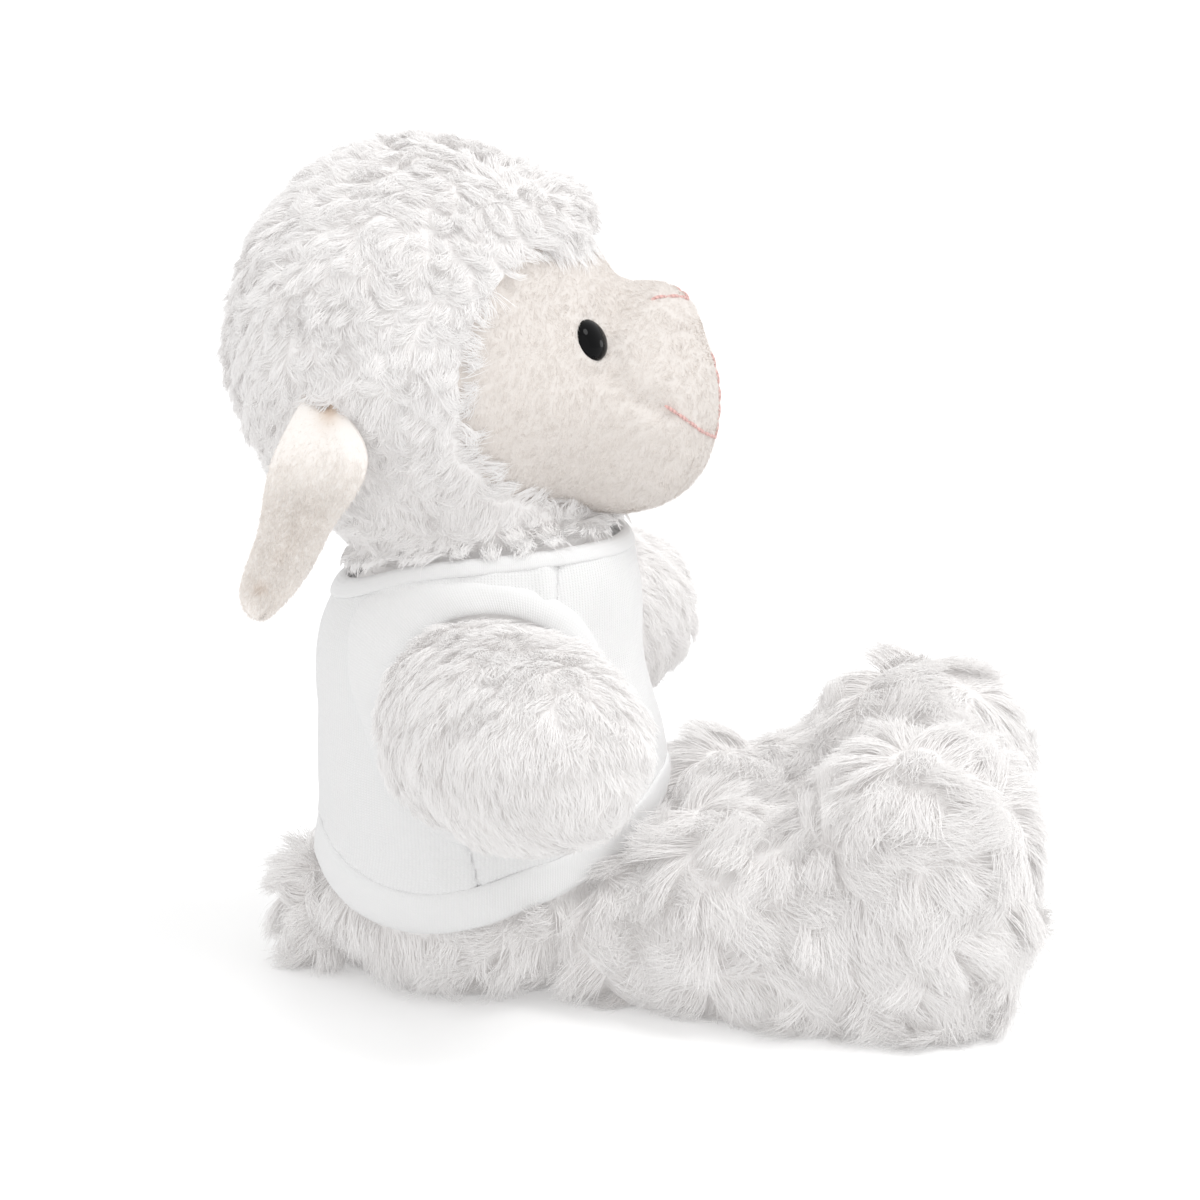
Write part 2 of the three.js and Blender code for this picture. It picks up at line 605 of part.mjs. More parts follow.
/** The root of an ear on the skull, and the frame that the ear is drawn in. */
function earFrame(side) {
  const { middle, half } = headLump(skull);
  const start = middle.clone().add(vector(0, earBackShare * half.y, -earDropShare * half.z));
  const root = surfacePoint(headForm, start, vector(side, 0, 0), worldReach, -ear.sunk);
  const hang = vector(side * earSwayOutShare, earSwayBackShare, -1).normalize();
  const out = outwardAt(headForm, root);
  out.addScaledVector(hang, -out.dot(hang)).normalize();
  return { root, hang, out, across: hang.clone().cross(out).multiplyScalar(side) };
}

/** Half the ear's width at a share of its length. */
function earHalfWidth(share) {
  const widths = [ear.rootWidth, ear.width, ear.tipWidth];
  if (share < earWidestShare) {
    const rise = Math.sin(share / earWidestShare * Math.PI / 2);
    return THREE.MathUtils.lerp(widths[0], widths[1], rise) / 2;
  }
  const fall = (share - earWidestShare) / (1 - earWidestShare);
  const taper = THREE.MathUtils.lerp(widths[1], widths[2], THREE.MathUtils.smoothstep(fall, 0, 1));
  const tip = Math.max(0, (fall - earTipRoundShare) / (1 - earTipRoundShare));
  const round = Math.sqrt(Math.max(0, 1 - tip ** 2));
  return taper * round / 2;
}

/** One cloth layer of an ear: a cupped leaf between two depths behind its hollow side. */
function earLayer(side, near, far) {
  const { root, hang, out, across } = earFrame(side);
  const rows = 8;
  const columns = 5;
  const pointAt = (share, turn, depth) => {
    const half = Math.max(earHalfWidth(share), ear.stem);
    const cup = ear.cup * (1 - share * earCupFadeShare) * (1 - turn * turn);
    return root.clone()
      .addScaledVector(hang, share * ear.length)
      .addScaledVector(across, turn * half)
      .addScaledVector(out, depth + ear.cup - cup);
  };
  const points = [];
  const faces = [];
  for (const depth of [near, far]) {
    for (let row = 0; row <= rows; row += 1) {
      for (let column = 0; column <= columns; column += 1) {
        points.push(pointAt(row / rows, 2 * column / columns - 1, depth));
      }
    }
  }
  const layer = (rows + 1) * (columns + 1);
  const at = (sheet, row, column) => sheet * layer + row * (columns + 1) + column;
  const quad = (a, b, c, d) => faces.push(a, b, c, a, c, d);
  for (let row = 0; row < rows; row += 1) {
    for (let column = 0; column < columns; column += 1) {
      quad(at(1, row, column), at(1, row, column + 1), at(1, row + 1, column + 1), at(1, row + 1, column));
      quad(at(0, row, column), at(0, row + 1, column), at(0, row + 1, column + 1), at(0, row, column + 1));
    }
    quad(at(0, row, 0), at(1, row, 0), at(1, row + 1, 0), at(0, row + 1, 0));
    quad(at(0, row, columns), at(0, row + 1, columns), at(1, row + 1, columns), at(1, row, columns));
  }
  for (let column = 0; column < columns; column += 1) {
    quad(at(0, 0, column), at(0, 0, column + 1), at(1, 0, column + 1), at(1, 0, column));
    quad(at(0, rows, column), at(1, rows, column), at(1, rows, column + 1), at(0, rows, column + 1));
  }
  const geometry = new THREE.BufferGeometry().setFromPoints(points);
  geometry.setIndex(side === left ? faces : faces.toReversed());
  return geometry;
}

function earPieces(side, name) {
  const clearOfHead = (layer) => solid(layer).subtract(headAt(clothGap));
  return [
    piece(`${name}_ear_back`, clearOfHead(earLayer(side, 0, cloth.ear)), colours.face),
    piece(`${name}_ear_lining`, clearOfHead(earLayer(side, cloth.ear + clothGap, 2 * cloth.ear + clothGap)),
      colours.lining),
  ];
}

const lamb = new THREE.Group();
lamb.name = 'stuffed_lamb';
lamb.add(
  ...torsoPieces(), ...teePieces(), ...tailPieces(), ...headPieces(),
  ...armPieces(right, 'right'), ...armPieces(left, 'left'),
  ...legPieces(right, 'right'), ...legPieces(left, 'left'),
  ...earPieces(right, 'right'), ...earPieces(left, 'left'));

export default lamb;
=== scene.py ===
"""Looks of a seated plush lamb in a sleeveless tee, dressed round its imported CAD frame.

Metres, +Z up. The lamb looks along -Y, its right side is -X, and it sits on z = 0.
"""

import logging
import math
from dataclasses import dataclass, field
from enum import Enum
from typing import Callable, ClassVar

import bpy
import numpy as np
from mathutils import Matrix, Vector
from mathutils.kdtree import KDTree


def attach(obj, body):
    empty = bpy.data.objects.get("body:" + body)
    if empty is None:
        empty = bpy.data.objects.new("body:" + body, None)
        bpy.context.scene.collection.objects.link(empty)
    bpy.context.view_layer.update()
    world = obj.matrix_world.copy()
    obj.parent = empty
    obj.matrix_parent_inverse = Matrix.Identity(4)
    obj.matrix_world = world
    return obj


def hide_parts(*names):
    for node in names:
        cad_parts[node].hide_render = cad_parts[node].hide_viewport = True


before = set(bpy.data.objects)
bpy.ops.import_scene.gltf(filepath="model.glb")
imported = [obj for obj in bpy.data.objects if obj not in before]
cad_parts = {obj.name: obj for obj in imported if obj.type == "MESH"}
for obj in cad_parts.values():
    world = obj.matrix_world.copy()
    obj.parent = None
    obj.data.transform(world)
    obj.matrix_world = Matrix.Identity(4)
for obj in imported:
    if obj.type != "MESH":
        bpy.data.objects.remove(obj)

log = logging.getLogger("lamb")

Array = np.ndarray
Point = tuple[float, float, float]
Pair = tuple[float, float]
Outline = tuple[Pair, ...]
Shift = Callable[[Array], Array]
Random = np.random.Generator
Piece = bpy.types.Object
Material = bpy.types.Material
Nodes = bpy.types.NodeTree
Socket = bpy.types.NodeSocket

MM = 0.001

# Farther than any form reaches from its spine
REACH = 0.17

# How far a skin's end ring leans off the spine, in radians, so that it stays a ring
END_RING_LEAN = 0.004

# The bake map's name, and the share of it that each filled end takes
MAP_NAME = "OFBake"
CAP_STRIP = 0.01

# Names of the values that the materials read from a mesh
TONE = "tone"
PLACE = "cloth_place"


class Side(Enum):
    """The lamb's own sides, as the sign of X."""

    RIGHT = -1
    LEFT = 1

    @property
    def word(self) -> str:
        """The side's name as the CAD nodes spell it."""
        return self.name.lower()


# Vectors, lines and smooth noise


def mm(*sizes: float) -> Point:
    """A place or three sizes, given in millimetres."""
    return tuple(size * MM for size in sizes)


def unit(vectors: Array) -> Array:
    """Vectors scaled to length one."""
    length = np.linalg.norm(vectors, axis=-1, keepdims=True)
    return vectors / np.maximum(length, 1e-12)


def smooth(low: float, high: float, value: Array) -> Array:
    """A soft step from 0 at low to 1 at high."""
    share = np.clip((value - low) / (high - low), 0, 1)
    return share * share * (3 - 2 * share)


def across(vectors: Array, normals: Array) -> Array:
    """The part of vectors that lies in the plane across normals, at length one."""
    return unit(vectors - normals * (vectors * normals).sum(-1, keepdims=True))


def run_along(line: Array) -> Array:
    """How far along a line each of its points lies."""
    return np.concatenate([[0], np.cumsum(np.linalg.norm(np.diff(line, axis=0), axis=1))])


def read_off(at: Array, given: Array, line: Array) -> Array:
    """A line's places at other steps than the given ones."""
    return np.stack([np.interp(at, given, line[:, k]) for k in range(line.shape[1])], axis=1)


def softened(line: Array, width: int) -> Array:
    """A line with its corners rounded off.

    Args:
        line: places along it.
        width: how many neighbours each place is averaged over, an odd number.

    Returns:
        As many places.
    """
    kernel = np.ones(width) / width
    longer = np.pad(line, ((width // 2, width // 2), (0, 0)), "edge")
    return np.stack([np.convolve(longer[:, k], kernel, "valid") for k in range(line.shape[1])], axis=1)


@dataclass(frozen=True)
class Ripple:
    """Smooth noise in space, a sum of waves with fixed directions.

    Args:
        size: about how far apart its hills are, in metres.
        seed: chooses the waves.
        waves: how many waves are added.
    """

    size: float
    seed: int
    waves: int = 7

    def at(self, points: Array, parts: int = 1) -> Array:
        """Noise of about -1 to 1 at points, with one or more parts each.

        Args:
            points: places in space.
            parts: how many separate values each point gets.

        Returns:
            An array with a row for each point and a column for each part.
        """
        rng = np.random.default_rng(self.seed)
        total = np.zeros((len(points), parts))
        for part in range(parts):
            for _ in range(self.waves):
                direction = unit(rng.normal(size=3)) * (2 * math.pi / self.size) * rng.uniform(0.6, 1.5)
                total[:, part] += np.sin(points @ direction + rng.uniform(0, 2 * math.pi))
        return total * math.sqrt(2 / self.waves) * 0.6


# Soft forms


@dataclass(frozen=True)
class Lump:
    """A rounded lump of filling: its middle and its half sizes."""

    middle: Point
    half: Point

    def distance(self, points: Array) -> Array:
        """Roughly how far points lie outside the lump.

        Args:
            points: places in space.

        Returns:
            A distance for each, below 0 inside.
        """
        offset = points - np.array(self.middle)
        half = np.array(self.half)
        near = np.linalg.norm(offset / half, axis=1)
        slope = np.linalg.norm(offset / half**2, axis=1)
        inside = -min(self.half)
        return np.where(near < 1e-6, inside, near * (near - 1) / np.maximum(slope, 1e-9))


def ball(middle: Point, radius: float) -> Lump:
    """A round lump."""
    return Lump(middle, (radius, radius, radius))


@dataclass(frozen=True)
class Form:
    """The smooth skin round several lumps."""

    lumps: tuple[Lump, ...]
    softness: float = 3 * MM

    def distance(self, points: Array) -> Array:
        """How far points lie outside the form.

        Args:
            points: places in space.

        Returns:
            A distance for each, below 0 inside.
        """
        total = np.zeros(len(points))
        for lump in self.lumps:
            total += np.exp(np.clip(-lump.distance(points) / self.softness, -300, 300))
        return -self.softness * np.log(np.maximum(total, 1e-130))

    def outward(self, points: Array) -> Array:
        """The direction straight out of the form.

        Args:
            points: places near its surface.

        Returns:
            A direction for each.
        """
        step = 0.05 * MM
        slopes = [self.distance(points + axis) - self.distance(points - axis) for axis in np.eye(3) * step]
        return unit(np.stack(slopes, axis=1))

    def surface(self, starts: Array, directions: Array, swell: Array | float = 0.0) -> Array:
        """Where rays from inside the form leave it.

        Args:
            starts: the rays' starts.
            directions: the rays' directions, at length one.
            swell: how much thicker the form is taken, for all rays or each.

        Returns:
            A point for each ray.
        """
        near, far = np.zeros(len(starts)), np.full(len(starts), REACH)
        for _ in range(17):
            middle = (near + far) / 2
            inside = self.distance(starts + directions * middle[:, None]) < swell
            near, far = np.where(inside, middle, near), np.where(inside, far, middle)
        return starts + directions * near[:, None]

    def pushed_out(self, points: Array, margin: float) -> Array:
        """Points moved out of the form.

        Args:
            points: places in space.
            margin: how far outside each one has to lie.

        Returns:
            The places, moved where they were too near.
        """
        short = margin - self.distance(points)
        near = short > 0
        moved = points.copy()
        if near.any():
            moved[near] += self.outward(points[near]) * short[near, None]
        return moved


# Meshes


@dataclass
class Cloth:
    """Points and faces of a mesh in the making.

    Args:
        points: the corners' places.
        quads: four corners a face.
        map_places: a place on the bake map for each corner of each face.
        tone: a value for each point that sets its painted shade, 0 at a pile's shaded roots and 1 at its
            tips.
        places: where each corner of each face lies on the flat cloth, in metres.
        grid: the row and the column of each corner of each face.
    """

    points: Array
    quads: Array
    map_places: Array
    tone: Array
    places: Array | None = None
    grid: Array | None = None

    def corners(self) -> tuple[Array, ...]:
        """The places of each face's four corners."""
        return tuple(self.points[self.quads[:, k]] for k in range(4))

    def areas(self) -> Array:
        """The area of each face."""
        a, b, c, d = self.corners()
        return np.linalg.norm(np.cross(c - a, d - b), axis=1) / 2

    def middles(self) -> Array:
        """The middle of each face."""
        return self.points[self.quads].mean(axis=1)

    def kept(self, keep: Array) -> "Cloth":
        """The mesh with only some of its faces.

        Args:
            keep: whether each face stays.

        Returns:
            A new mesh.
        """
        used, quads = np.unique(self.quads[keep], return_inverse=True)
        places = None if self.places is None else self.places[keep]
        return Cloth(self.points[used], quads.reshape(-1, 4), self.map_places[keep], self.tone[used], places)


def join(parts: list[Cloth]) -> Cloth:
    """Several meshes as one.

    Args:
        parts: the meshes, each with its places on the flat cloth.

    Returns:
        One mesh.
    """
    starts = np.cumsum([0] + [len(part.points) for part in parts[:-1]])
    return Cloth(
        np.concatenate([part.points for part in parts]),
        np.concatenate([part.quads + start for part, start in zip(parts, starts)]),
        np.concatenate([part.map_places for part in parts]),
        np.concatenate([part.tone for part in parts]),
        np.concatenate([part.places for part in parts]),
    )


def linked(name: str, data: bpy.types.ID) -> Piece:
    """A new object in the scene.

    Args:
        name: its name.
        data: its mesh, lamp or camera.

    Returns:
        The object.
    """
    made = bpy.data.objects.new(name, data)
    bpy.context.scene.collection.objects.link(made)
    return made


def make_object(name: str, cloth: Cloth, material: Material) -> Piece:
    """A Blender object from a mesh in the making.

    Args:
        name: the piece's name.
        cloth: its points and faces.
        material: its finish.

    Returns:
        The new object, linked to the scene.
    """
    mesh = bpy.data.meshes.new(name)
    mesh.vertices.add(len(cloth.points))
    mesh.vertices.foreach_set("co", cloth.points.astype(np.float32).ravel())
    mesh.loops.add(cloth.quads.size)
    mesh.loops.foreach_set("vertex_index", cloth.quads.astype(np.int32).ravel())
    mesh.polygons.add(len(cloth.quads))
    mesh.polygons.foreach_set("loop_start", np.arange(0, cloth.quads.size, 4, dtype=np.int32))
    mesh.update(calc_edges=True)
    mesh.polygons.foreach_set("use_smooth", np.ones(len(cloth.quads), bool))
    layer = mesh.uv_layers.new(name=MAP_NAME)
    layer.data.foreach_set("uv", cloth.map_places.astype(np.float32).ravel())
    tone = mesh.attributes.new(TONE, "FLOAT", "POINT")
    tone.data.foreach_set("value", cloth.tone.astype(np.float32))
    if cloth.places is not None:
        places = mesh.attributes.new(PLACE, "FLOAT_VECTOR", "CORNER")
        spread = np.zeros((cloth.quads.size, 3), np.float32)
        spread[:, :2] = cloth.places.reshape(-1, 2)
        places.data.foreach_set("vector", spread.ravel())
    mesh.materials.append(material)
    return linked(name, mesh)


def grid_cloth(rings: Array, closed: bool = True, looped: bool = False, capped: bool = False) -> Cloth:
    """A mesh from rows of points.

    Args:
        rings: rows of points, each with the same number.
        closed: whether each row runs back to its start.
        looped: whether the last row runs on into the first.
        capped: whether the first and the last row are filled in.

    Returns:
        The mesh.
    """
    rows, columns = rings.shape[:2]
    high, wide = rows if looped else rows - 1, columns if closed else columns - 1
    row, column = np.meshgrid(np.arange(high), np.arange(wide), indexing="ij")
    row = row.ravel()[:, None] + np.array([0, 0, 1, 1])
    column = column.ravel()[:, None] + np.array([0, 1, 1, 0])
    quads = (row % rows) * columns + column % columns
    u, v = column / wide, CAP_STRIP + row / high * (1 - 2 * CAP_STRIP)
    if capped:
        k = np.arange(columns // 2 - 1)
        for start, foot in ((0, 0.0), ((rows - 1) * columns, 1 - CAP_STRIP)):
            fill = start + np.stack([k, columns - 1 - k, columns - 2 - k, k + 1], axis=1)
            quads = np.concatenate([quads, fill if start == 0 else fill[:, ::-1]])
            u = np.concatenate([u, (k[:, None] + np.array([0, 0, 1, 1])) / (columns // 2)])
            v = np.concatenate([v, foot + np.tile([0, 1, 1, 0], (len(k), 1)) * CAP_STRIP * 0.8])
            row = np.concatenate([row, np.full((len(k), 4), start // columns)])
            column = np.concatenate([column, np.zeros((len(k), 4), int)])
    cloth = Cloth(rings.reshape(-1, 3), quads, np.stack([u, v], axis=2), np.zeros(rows * columns))
    cloth.grid = np.stack([row, column], axis=2)
    return cloth


@dataclass(frozen=True)
class Spine:
    """The line inside a stuffed part that its skin is drawn round.

    Args:
        points: places along the line.
        reference: a direction that the line never runs along.
    """

    points: tuple[Point, ...]
    reference: Point = (1.0, 0.0, 0.0)

    def frames(self, steps: int) -> tuple[Array, Array, Array, Array]:
        """Evenly spaced places on the line, with their directions.

        Args:
            steps: how many stretches the line is cut into.

        Returns:
            The places, and the directions along, across and over the line.
        """
        line = np.array(self.points)
        run = run_along(line)
        middles = read_off(np.linspace(0, run[-1], steps + 1), run, line)
        along = unit(np.gradient(middles, axis=0)) if steps > 1 else unit(line[-1:] - line[:1]).repeat(2, 0)
        side = across(np.array(self.reference)[None].repeat(steps + 1, 0), along)
        return middles, along, side, np.cross(along, side)


@dataclass(frozen=True)
class Skin:
    """The surface of a stuffed part.

    Args:
        form: the form under the surface.
        spine: the line inside it.
        sides: points round each ring.
        steps: rings along the spine.
        fan: rings over each end.
    """

    form: Form
    spine: Spine
    sides: int = 96
    steps: int = 24
    fan: int = 24

    def rings(self, swell: float = 0.0) -> Array:
        """Rings of points over the whole surface, from one end to the other.

        Args:
            swell: how much thicker the form is taken.

        Returns:
            A row of points for each ring.
        """
        middles, along, side, over = self.spine.frames(self.steps)
        leans = np.linspace(-math.pi / 2, 0, self.fan, endpoint=False)
        leans[0] += END_RING_LEAN
        start, end = np.zeros(self.fan, int), np.full(self.fan, self.steps)
        index = np.concatenate([start, np.arange(self.steps + 1), end])
        lean = np.concatenate([leans, np.zeros(self.steps + 1), -leans[::-1]])
        turn = np.arange(self.sides) / self.sides * 2 * math.pi
        wide = side[index, None] * np.cos(turn)[None, :, None]
        out = wide + over[index, None] * np.sin(turn)[None, :, None]
        rays = out * np.cos(lean)[:, None, None] + along[index, None] * np.sin(lean)[:, None, None]
        starts = np.broadcast_to(middles[index, None], rays.shape)
        flat = self.form.surface(starts.reshape(-1, 3), unit(rays.reshape(-1, 3)), swell)
        return flat.reshape(rays.shape)


def scatter(cloth: Cloth, count: int, rng: Random) -> Array:
    """Places spread evenly over a mesh.

    Args:
        cloth: the mesh.
        count: how many places.
        rng: the source of chance.

    Returns:
        The places.
    """
    a, b, c, d = cloth.corners()
    size = cloth.areas()
    picked = rng.choice(len(size), count, p=size / size.sum())
    u, v = rng.random((2, count, 1))
    low, high = a[picked] * (1 - u) + b[picked] * u, d[picked] * (1 - u) + c[picked] * u
    return low * (1 - v) + high * v


# Pile


def nearest(points: Array, centres: Array) -> tuple[Array, Array]:
    """The nearest of some centres to each point.

    Args:
        points: the points.
        centres: the centres.

    Returns:
        Which centre it is, and how far away.
    """
    tree = KDTree(len(centres))
    for index, centre in enumerate(centres):
        tree.insert(centre, index)
    tree.balance()
    found = [tree.find(point)[1:] for point in points]
    return np.array([index for index, _ in found], int), np.array([away for _, away in found])


@dataclass(frozen=True)
class Chance:
    """How much whole tufts and single strands differ, as the spread of a random share or angle in radians.

    Args:
        tip: how far the tips stray, as a share of the length.
        lengths: the shortest and the longest strand, as shares.
        widths: the thinnest and the widest, as shares.
        tones: the darkest and the lightest, as shares.
    """

    tuft_turn: float = 0.6
    tuft_lean: float = 0.2
    tuft_length: float = 0.16
    tuft_facing: float = 0.12
    strand_way: float = 0.18
    strand_lean: float = 0.1
    strand_curl: float = 0.25
    strand_facing: float = 0.25
    tip: float = 0.02
    lengths: Pair = (0.7, 1.1)
    widths: Pair = (0.7, 1.25)
    tones: Pair = (0.85, 1.0)


CHANCE = Chance()

# A strand's normal is this share its tuft's and the rest its own root's
TUFT_NORMAL_SHARE = 0.4

# A strand's tip is this share narrower than its root
TAPER = 0.75


@dataclass(frozen=True)
class Pile:
    """How a pile fabric grows.

    Args:
        density: strands to a square metre.
        length: the strands' length.
        width: their width at the root.
        tuft: how far apart the tufts are.
        gather: how far the tips draw in to the tuft's middle, as a share.
        lean: the angle from straight up at the root and at the tip, in degrees.
        spread: how differently the tufts lean and turn, as a share.
        curl: how far a tuft turns sideways, in radians.
        pieces: stretches along each strand.
        relief: how much the strands of a tuft face away from its middle.
        rounded: whether the strands are gutters and not flat.
    """

    density: float
    length: float
    width: float
    tuft: float
    gather: float = 0.7
    lean: Pair = (20.0, 75.0)
    spread: float = 1.0
    curl: float = 1.2
    pieces: int = 3
    relief: float = 0.4
    rounded: bool = True

    def grown(
        self, roots: Array, centres: Array, form: Form, flow: Shift, rng: Random, share: Shift | None = None,
    ) -> tuple[Array, Array]:
        """The strands' lines.

        Args:
            roots: where the strands start.
            centres: the middles of the tufts.
            form: the form that they grow on.
            flow: the direction in which the pile is brushed at a place.
            rng: the source of chance.
            share: how long the strands are at a place, as a share of their length.

        Returns:
            The places along each strand, and the direction that each strand faces.
        """
        tuft, _ = nearest(roots, centres)
        count, tufts = len(roots), len(centres)
        out = form.outward(centres)
        normal = unit((1 - TUFT_NORMAL_SHARE) * form.outward(roots) + TUFT_NORMAL_SHARE * out[tuft])
        brushed = across(flow(centres), out)
        turn = rng.normal(0, CHANCE.tuft_turn * self.spread, tufts)
        brushed = brushed * np.cos(turn)[:, None] + np.cross(out, brushed) * np.sin(turn)[:, None]
        forth = across(brushed[tuft] + rng.normal(0, CHANCE.strand_way, (count, 3)), normal)
        aside = np.cross(normal, forth)
        root_lean, tip_lean = np.radians(self.lean)
        lean_more = rng.normal(0, CHANCE.tuft_lean, tufts)[tuft] + rng.normal(0, CHANCE.strand_lean, count)
        lean_more = 1 + self.spread * lean_more
        curl = rng.normal(0, self.curl, tufts)[tuft] + rng.normal(0, CHANCE.strand_curl, count)
        long = self.length * (1 + self.spread * rng.normal(0, CHANCE.tuft_length, tufts)[tuft])
        long = long * rng.uniform(*CHANCE.lengths, count)
        if share is not None:
            long = long * share(roots)
        lines = [roots]
        for step in range(self.pieces):
            at = (step + 0.5) / self.pieces
            lean = (root_lean + (tip_lean - root_lean) * at) * lean_more
            bend = curl * at
            way = (
                normal * np.cos(lean)[:, None]
                + forth * (np.sin(lean) * np.cos(bend))[:, None]
                + aside * (np.sin(lean) * np.sin(bend))[:, None])
            lines.append(lines[-1] + way * (long / self.pieces)[:, None])
        lines = np.stack(lines, axis=1)
        at = np.linspace(0, 1, self.pieces + 1)[None, :, None]
        draw = centres[tuft] - roots
        reach = np.linalg.norm(draw, axis=1, keepdims=True)
        draw = draw * np.minimum(1, 0.9 * self.tuft / np.maximum(reach, 1e-9))
        lines = lines + draw[:, None] * self.gather * at**1.3
        lines = lines + rng.normal(0, CHANCE.tip * self.length, lines.shape) * at
        sway = rng.normal(0, CHANCE.tuft_facing, (tufts, 3))[tuft]
        return lines, unit(normal - self.relief * draw / self.tuft + sway * min(1, self.relief))

    def cloth(self, lines: Array, lit: Array, rng: Random, low: float = 0.05, high: float = 1.0) -> Cloth:
        """Tapered strands along lines, each a narrow gutter with its back outward, or flat.

        Args:
            lines: the strands' lines.
            lit: the direction that each strand faces.
            rng: the source of chance.
            low: the tone at the roots, where the painted shade is darkest.
            high: the tone at the tips.

        Returns:
            One mesh with a strand for each line.
        """
        count, places = lines.shape[:2]
        way = np.gradient(lines, axis=1)
        side = unit(np.cross(way, (lit + rng.normal(0, CHANCE.strand_facing, lit.shape))[:, None]))
        at = np.linspace(0, 1, places)
        half = (0.5 * self.width * (1 - TAPER * at**2))[None, :, None]
        half = half * rng.uniform(*CHANCE.widths, (count, 1, 1))
        rows = [lines - side * half, lines + side * half]
        if self.rounded:
            rows.insert(1, lines + unit(np.cross(side, way)) * half)
        columns = len(rows)
        points = np.stack(rows, axis=2)
        base = (np.arange(count) * places * columns)[:, None, None] + np.arange(places - 1)[:, None] * columns
        base = base + np.arange(columns - 1)
        quads = np.stack([base, base + 1, base + 1 + columns, base + columns], axis=3).reshape(-1, 4)
        cells = math.ceil(math.sqrt(count))
        left, foot = np.arange(count) % cells / cells, np.arange(count) // cells / cells
        edge = 0.1 + 0.8 * np.arange(columns) / (columns - 1)
        u = left[:, None, None, None] + np.stack([edge[:-1], edge[1:], edge[1:], edge[:-1]], axis=1) / cells
        u = np.broadcast_to(u, (count, places - 1, columns - 1, 4))
        rise = 0.05 + 0.9 * at
        v = np.stack([rise[:-1], rise[:-1], rise[1:], rise[1:]], axis=1)[:, None] / cells
        v = np.broadcast_to(foot[:, None, None, None] + v, u.shape)
        # Painted shade: each strand is darker at its root and lighter towards its tip.
        tone = np.broadcast_to((low + (high - low) * at)[None, :, None], points.shape[:3])
        tone = tone * rng.uniform(*CHANCE.tones, (count, 1, 1))
        map_places = np.stack([u, v], axis=4).reshape(-1, 4, 2)
        return Cloth(points.reshape(-1, 3), quads, map_places, tone.reshape(-1))


# Finishes

# How fast a pile brightens out of its painted root shade, and how fine its fibres and a plastic's scuffs are,
# per metre
ROOT_SHADE_POWER = 0.7
FIBRE_FINENESS = 1400
SCUFF_FINENESS = 900

# A knit's loops: how far a column wanders and how fine that is, and how far a loop slants
WANDER = 0.35 * MM
WANDER_FINENESS = 260
LOOP_SLANT = 0.6


def new_group(
    name: str, inputs: dict[str, tuple[str, float]], outputs: dict[str, str],
) -> tuple[Nodes, dict, dict]:
    """A shader node group with named sockets.

    Args:
        name: the group's name.
        inputs: each input's socket type and value.
        outputs: each output's socket type.

    Returns:
        The group, its input sockets and its output sockets by name.
    """
    group = bpy.data.node_groups.new(name, "ShaderNodeTree")
    for label, (kind, value) in inputs.items():
        socket = group.interface.new_socket(label, in_out="INPUT", socket_type=kind)
        if kind == "NodeSocketFloat":
            socket.default_value = value
    for label, kind in outputs.items():
        group.interface.new_socket(label, in_out="OUTPUT", socket_type=kind)
    start, end = group.nodes.new("NodeGroupInput"), group.nodes.new("NodeGroupOutput")
    return group, {s.name: s for s in start.outputs}, {s.name: s for s in end.inputs}


def sum_of(tree: Nodes, operation: str, *values: object) -> Socket:
    """A Math node's result.

    Args:
        tree: the tree that the node is made in.
        operation: what it does.
        values: sockets or numbers.

    Returns:
        Its output socket.
    """
    node = tree.nodes.new("ShaderNodeMath")
    node.operation = operation
    for index, value in enumerate(values):
        if isinstance(value, Socket):
            tree.links.new(value, node.inputs[index])
        else:
            node.inputs[index].default_value = value
    return node.outputs[0]


def noise(tree: Nodes, vector: Socket, scale: float, detail: float) -> Socket:
    """A Noise Texture's value at a place.

    Args:
        tree: the tree that the node is made in.
        vector: the place.
        scale: how fine the noise is.
        detail: how many finer layers it has.

    Returns:
        Its value's socket.
    """
    node = tree.nodes.new("ShaderNodeTexNoise")
    node.inputs["Scale"].default_value = scale
    node.inputs["Detail"].default_value = detail
    tree.links.new(vector, node.inputs["Vector"])
    return node.outputs["Fac"]


def pile_group() -> Nodes:
    """Painted shade of a pile: darker between the tufts and at the roots, lighter at the tips, and uneven
    from place to place.

    Returns:
        The group.
    """
    group, given, put = new_group(
        "Pile shade",
        {
            "Place": ("NodeSocketVector", 0), "Tone": ("NodeSocketFloat", 0.5),
            "Patch Size": ("NodeSocketFloat", 90), "Unevenness": ("NodeSocketFloat", 0.5)},
        {"Mask": "NodeSocketFloat", "Height": "NodeSocketFloat"})
    patches = group.nodes.new("ShaderNodeTexNoise")
    patches.inputs["Detail"].default_value = 3
    group.links.new(given["Place"], patches.inputs["Vector"])
    group.links.new(given["Patch Size"], patches.inputs["Scale"])
    even = sum_of(group, "SUBTRACT", patches.outputs["Fac"], 0.5)
    uneven = sum_of(group, "MULTIPLY", even, given["Unevenness"])
    tone = sum_of(group, "POWER", given["Tone"], ROOT_SHADE_POWER)
    mask = sum_of(group, "ADD", tone, uneven)
    clamp = sum_of(group, "MINIMUM", sum_of(group, "MAXIMUM", mask, 0), 1)
    group.links.new(clamp, put["Mask"])
    group.links.new(noise(group, given["Place"], FIBRE_FINENESS, 3), put["Height"])
    return group


